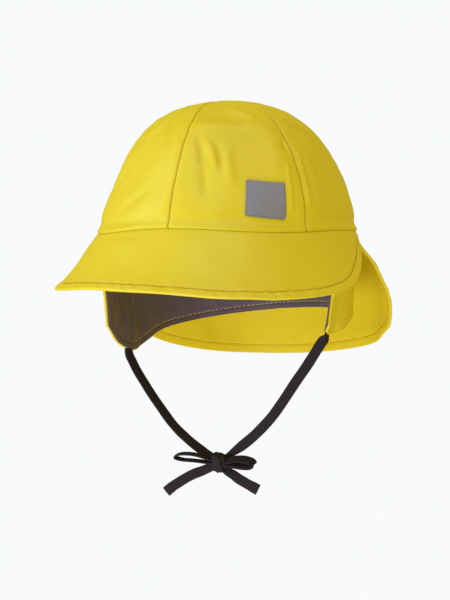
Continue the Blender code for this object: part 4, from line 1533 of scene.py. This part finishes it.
def crown_relief(point, rise, from_seam, left_of_seam, cloth):
    """Lift of the crown's cloth: seams, their pressed allowances, puckers, base ridge and creases."""
    height = rise * CROWN_HEIGHT
    seam = -cloth.seam_depth * hump(from_seam, 0, SEAM_HALF_WIDTH)
    pressed = smooth_step(from_seam, *ALLOWANCE_FROM) * (1 - smooth_step(from_seam, *ALLOWANCE_TO))
    allowance = np.where(left_of_seam, ALLOWANCE_LEFT, ALLOWANCE_RIGHT) * pressed
    pucker = SEAM_PUCKER * ripples(point, SEAM_PUCKER_LENGTH, CROWN_SEED) * hump(from_seam, 0.003, 0.004)
    base = ridge(height, BASE_RIDGE) + ridge(height, BASE_HOLLOW)
    waves = wave_height(point, CROWN_WAVES)
    top = TOP_SINK * smooth_step(rise, 0.80, 1.0)
    total = seam + allowance + pucker + base + top + waves * smooth_step(height, 0.001, 0.012)
    for angle_1, rise_1, angle_2, rise_2, width, depth in CROWN_CREASES:
        start, end = crown_spot(angle_1, rise_1), crown_spot(angle_2, rise_2)
        total = total + crease(point, start, end, width, CREASE_STRENGTH * depth)
    return total


class HAT_OT_crown(bpy.types.Operator):
    """Make the crown's six panels, turned in at their seams"""

    bl_idname = "hat.crown"
    bl_label = "Crown"

    def execute(self, context):
        places = ("front_left", "side_left", "back_left", "back_right", "side_right", "front_right")
        for number, place in enumerate(places):
            self.panel(context, number, place)
        return {"FINISHED"}

    @staticmethod
    def panel(context, number, place):
        """One panel: close rows near the base, three more tucked in under it, and wider ones above."""
        cloth = context.scene.hat_cloth
        columns, rows = CROWN_GRID
        half_turn = math.pi / PANEL_COUNT
        middle = (2 * number + 1) * half_turn
        near_base = reach_at(np.arange(0, *CROWN_CLOSE_ROWS) / CROWN_HEIGHT)
        inner_rows = np.sin(np.linspace(1, CROWN_TOP_ROW, rows) * math.pi / 2)
        reach = np.concatenate([near_base, inner_rows[inner_rows < near_base[-1] * 0.996]])[:, None]
        arc = HEAD_WIDTH * half_turn
        across = 2 * close_rows(columns, arc, CROWN_EDGE, CROWN_CLOSE_SIDES, CROWN_CLOSE_SIDES) - 1
        gap = np.arcsin(np.minimum(SEAM_OPENING / (reach * HEAD_WIDTH), 0.5))
        angle = middle + across[None, :] * (half_turn - gap)
        reach = np.broadcast_to(reach, angle.shape)
        point, outward, rise = crown_point(angle, reach)
        radius = np.linalg.norm(rim(angle), axis=-1) * reach
        from_seam = (1 - np.abs(across))[None, :] * half_turn * radius
        left_of_seam = np.broadcast_to(across > 0, angle.shape)
        lift = crown_relief(point, rise, from_seam, left_of_seam, cloth)
        point = point + outward * lift[..., None]
        tuck = np.array(BASE_TUCK)[:, :, None, None]
        base_out = np.concatenate([rim_outward(angle[0]), np.zeros((len(across), 1))], -1)
        tucked = point[0] + np.array([0.0, 0.0, 1.0]) * tuck[:, 0] - base_out * tuck[:, 1]
        point = np.concatenate([tucked, point])
        outward = np.concatenate([np.broadcast_to(base_out, tucked.shape), outward])
        zero = np.zeros(point.shape[:2])
        # Painted shade along the seams, darkening the base colour
        shade = SEAM_SHADE * hump(from_seam, 0, SEAM_SHADE_WIDTH)
        shade = np.concatenate([np.zeros((len(BASE_TUCK), len(across))), shade])
        yellow = finish_of(context, "coated_fabric_yellow")
        piece, flat, area, _, _ = cloth_wall(
            f"crown_{place}_cloth", point, -outward, CROWN_WALL, yellow, zero, zero,
            edge=CROWN_EDGE, groove=shade,
        )
        declare_cloth(piece, f"crown_panel_{place}")


def sewn_sheet(context, name, node, surface, grid, wall, hem, creases, seed, shade):
    """Hemmed cloth with stitches on both faces."""
    cloth = context.scene.hat_cloth
    points, inward = sheet_points(surface, grid, wall / 2)
    border = sheet_border(surface)
    lift, away = hem_relief(points, border, hem, cloth, seed)
    from_root = run_down(points)
    settle = smooth_step(from_root, 0.0, 0.010)
    lift = lift * smooth_step(from_root, 0.0, 0.003)
    bend = sheet_creases(points, surface, creases) * settle
    bend = bend + wave_height(points, SHEET_WAVES, seed) * settle
    roll = ridge(from_root, ROOT_ROLL)
    points = points - inward * (bend + roll)[..., None]
    yellow = finish_of(context, "coated_fabric_yellow")
    # Painted shade along the hem's stitch line, darkening the base colour
    groove = shade * hump(away, hem, HEM_SHADE_WIDTH) * smooth_step(from_root, 0.001, 0.004)
    piece, flat, area, outer, inner = cloth_wall(
        name, points, inward, wall, yellow, lift, INNER_RELIEF * lift, groove=groove, away=away
    )
    thread = finish_of(context, "thread_yellow")
    for face, side, label in ((outer, 1, "outer"), (inner, -1, "inner")):
        line, up = stitch_line(border, face, inward, hem, side)
        row = stitch_row(f"{name}_stitches_{label}", line[STITCHED], up[STITCHED], thread, cloth)
    declare_cloth(piece, node)


class HAT_OT_brim(bpy.types.Operator):
    """Make the front brim with its turned and stitched hem"""

    bl_idname = "hat.brim"
    bl_label = "Brim"

    def execute(self, context):
        cloth = context.scene.hat_cloth
        sewn_sheet(
            context, "brim_cloth", "brim", brim_surface, BRIM_GRID, BRIM_WALL, cloth.brim_hem, BRIM_CREASES,
            50, BRIM_HEM_SHADE,
        )
        return {"FINISHED"}


class HAT_OT_neck_flap(bpy.types.Operator):
    """Make the long neck flap with its turned and stitched hem"""

    bl_idname = "hat.neck_flap"
    bl_label = "Neck flap"

    def execute(self, context):
        cloth = context.scene.hat_cloth
        sewn_sheet(
            context, "neck_flap_cloth", "neck_flap", neck_surface, NECK_GRID, NECK_WALL, cloth.neck_hem,
            NECK_CREASES, 60, NECK_HEM_SHADE,
        )
        return {"FINISHED"}


class HAT_OT_curtain(bpy.types.Operator):
    """Make the curtain with its ear flaps: yellow shell outside, dark lining inside"""

    bl_idname = "hat.curtain"
    bl_label = "Curtain"

    def execute(self, context):
        cloth = context.scene.hat_cloth
        border = sheet_border(curtain_surface)
        points, inward = sheet_points(curtain_surface, CURTAIN_GRID, SHELL_WALL / 2)
        bend = curtain_bend(points)
        away, run = distance_to_line(points, border)
        pucker = SHELL_PUCKER * border_ripples(run, away, 0.4, 0.008, 71) * hump(away, 0.002, 0.003)
        rolled = ridge(away, SHELL_ROLL) + ridge(away, SHELL_HOLLOW)
        turned = SHELL_TURNED * LINING_WALL * (1 - smooth_step(away, *SHELL_TURNED_TO))
        yellow = finish_of(context, "coated_fabric_yellow")
        bent = points - inward * bend[..., None]
        shell, flat, area, _, _ = cloth_wall(
            "curtain_shell_cloth", bent, inward, SHELL_WALL, yellow, rolled + pucker, turned, away=away
        )
        declare_cloth(shell, "curtain_shell")
        self.lining(context, cloth, border)
        return {"FINISHED"}

    @staticmethod
    def lining(context, cloth, border):
        """Lining on the shell's inner side, a little shorter and narrower, with one row of stitches."""
        trim = LINING_INSET / CURTAIN_BACK_DROP
        points, inward = sheet_points(
            curtain_surface, CURTAIN_GRID, LINING_WALL / 2, side_trim=LINING_SIDE_INSET, edge_trim=trim
        )
        bend = curtain_bend(points)
        away, run = distance_to_line(points, border)
        hem = cloth.curtain_hem
        groove = ridge(away, (LINING_GROOVE, hem, LINING_GROOVE_WIDTH))
        pucker = LINING_PUCKER * border_ripples(run, away, 0.3, 0.0065, 75) * hump(away, hem, 0.003)
        drape = LINING_DRAPE * border_ripples(run, away, 0.25, 0.014, 76) * smooth_step(away, 0.003, 0.012)
        lift = groove + pucker + np.abs(drape)
        grey = finish_of(context, "lining_dark_grey")
        bent = points - inward * bend[..., None]
        lining, flat, area, _, inner = cloth_wall(
            "curtain_lining_cloth", bent, inward, LINING_WALL, grey, np.zeros(lift.shape), lift,
            top=SHELL_WALL + CLEARANCE,
        )
        lower_edge = edge_between(curtain_surface, *LINING_STITCHES)
        line, up = stitch_line(lower_edge, inner, inward, hem, -1)
        seam = stitch_row("curtain_lining_stitches", line, up, finish_of(context, "thread_pale"), cloth)
        declare_cloth(lining, "curtain_lining")


class HAT_OT_patch(bpy.types.Operator):
    """Make the bare reflective patch on the wearer's left front panel"""

    bl_idname = "hat.patch"
    bl_label = "Patch"

    def execute(self, context):
        cloth = context.scene.hat_cloth
        columns, rows = PATCH_GRID
        x = 2 * close_rows(columns, PATCH_WIDTH, PATCH_EDGE) - 1
        z = 1 - 2 * close_rows(rows, PATCH_HEIGHT, PATCH_EDGE)
        x, z = np.meshgrid(x, z)
        # Near a corner both coordinates are drawn in, the corner itself onto its circle at 45 degrees
        corner_x = np.clip((np.abs(x) * PATCH_WIDTH / 2 - PATCH_WIDTH / 2) / PATCH_CORNER + 1, 0, 1)
        corner_z = np.clip((np.abs(z) * PATCH_HEIGHT / 2 - PATCH_HEIGHT / 2) / PATCH_CORNER + 1, 0, 1)
        round_x = 1 - np.sqrt(np.clip(1 - 0.5 * corner_z**2, 0, 1))
        round_z = 1 - np.sqrt(np.clip(1 - 0.5 * corner_x**2, 0, 1))
        x_flat = x * PATCH_WIDTH / 2 - np.sign(x) * PATCH_CORNER * corner_x * round_x
        z_flat = z * PATCH_HEIGHT / 2 - np.sign(z) * PATCH_CORNER * corner_z * round_z
        turn = math.radians(PATCH_TURN)
        x_place = x_flat * math.cos(turn) + z_flat * math.sin(turn)
        z_place = z_flat * math.cos(turn) - x_flat * math.sin(turn)
        rise = (PATCH_CENTRE_HEIGHT + z_place * PATCH_STAND) / CROWN_HEIGHT
        middle = math.radians(PATCH_ANGLE)
        arc = math.hypot(HEAD_WIDTH / 2 * math.cos(middle), HEAD_LENGTH / 2 * math.sin(middle))
        angle = middle + x_place / arc
        point, outward, rise = crown_point(angle, reach_at(rise))
        half_turn = math.pi / PANEL_COUNT
        from_seam = (half_turn - np.abs(angle - half_turn)) * arc
        lift = crown_relief(point, rise, from_seam, angle > half_turn, cloth)
        point = point + outward * (lift + CLEARANCE + cloth.patch)[..., None]
        zero = np.zeros(lift.shape)
        film = finish_of(context, "reflective_film")
        piece, *_ = cloth_wall("reflective_patch_film", point, -outward, cloth.patch, film, zero, zero)
        take_place(piece, "reflective_patch")
        return {"FINISHED"}


OPERATORS = (
    HAT_OT_studio,
    HAT_OT_bow,
    HAT_OT_ties,
    HAT_OT_crown,
    HAT_OT_brim,
    HAT_OT_neck_flap,
    HAT_OT_curtain,
    HAT_OT_patch,
)


class HAT_PT_sidebar(bpy.types.Panel):
    """Lists the hat's operators and settings"""

    bl_idname = "HAT_PT_sidebar"
    bl_label = "Rain hat"
    bl_space_type = "VIEW_3D"
    bl_region_type = "UI"
    bl_category = "Rain hat"

    def draw(self, context):
        for operator in OPERATORS:
            self.layout.operator(operator.bl_idname)
        for group in (context.scene.hat_cloth, context.scene.hat_colours, context.scene.hat_studio):
            for key in group.__annotations__:
                self.layout.prop(group, key)


CLASSES = (HatCloth, HatColours, HatStudio, *OPERATORS, HAT_PT_sidebar)


def register():
    for part in CLASSES:
        bpy.utils.register_class(part)
    bpy.types.Scene.hat_cloth = bpy.props.PointerProperty(type=HatCloth)
    bpy.types.Scene.hat_colours = bpy.props.PointerProperty(type=HatColours)
    bpy.types.Scene.hat_studio = bpy.props.PointerProperty(type=HatStudio)


def unregister():
    del bpy.types.Scene.hat_cloth
    del bpy.types.Scene.hat_colours
    del bpy.types.Scene.hat_studio
    for part in reversed(CLASSES):
        bpy.utils.unregister_class(part)


def main():
    """Registers the add-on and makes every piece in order."""
    register()
    bpy.ops.hat.studio()
    bpy.ops.hat.bow()
    bpy.ops.hat.ties()
    bpy.ops.hat.crown()
    bpy.ops.hat.brim()
    bpy.ops.hat.neck_flap()
    bpy.ops.hat.curtain()
    bpy.ops.hat.patch()


if __name__ == "__main__":
    main()
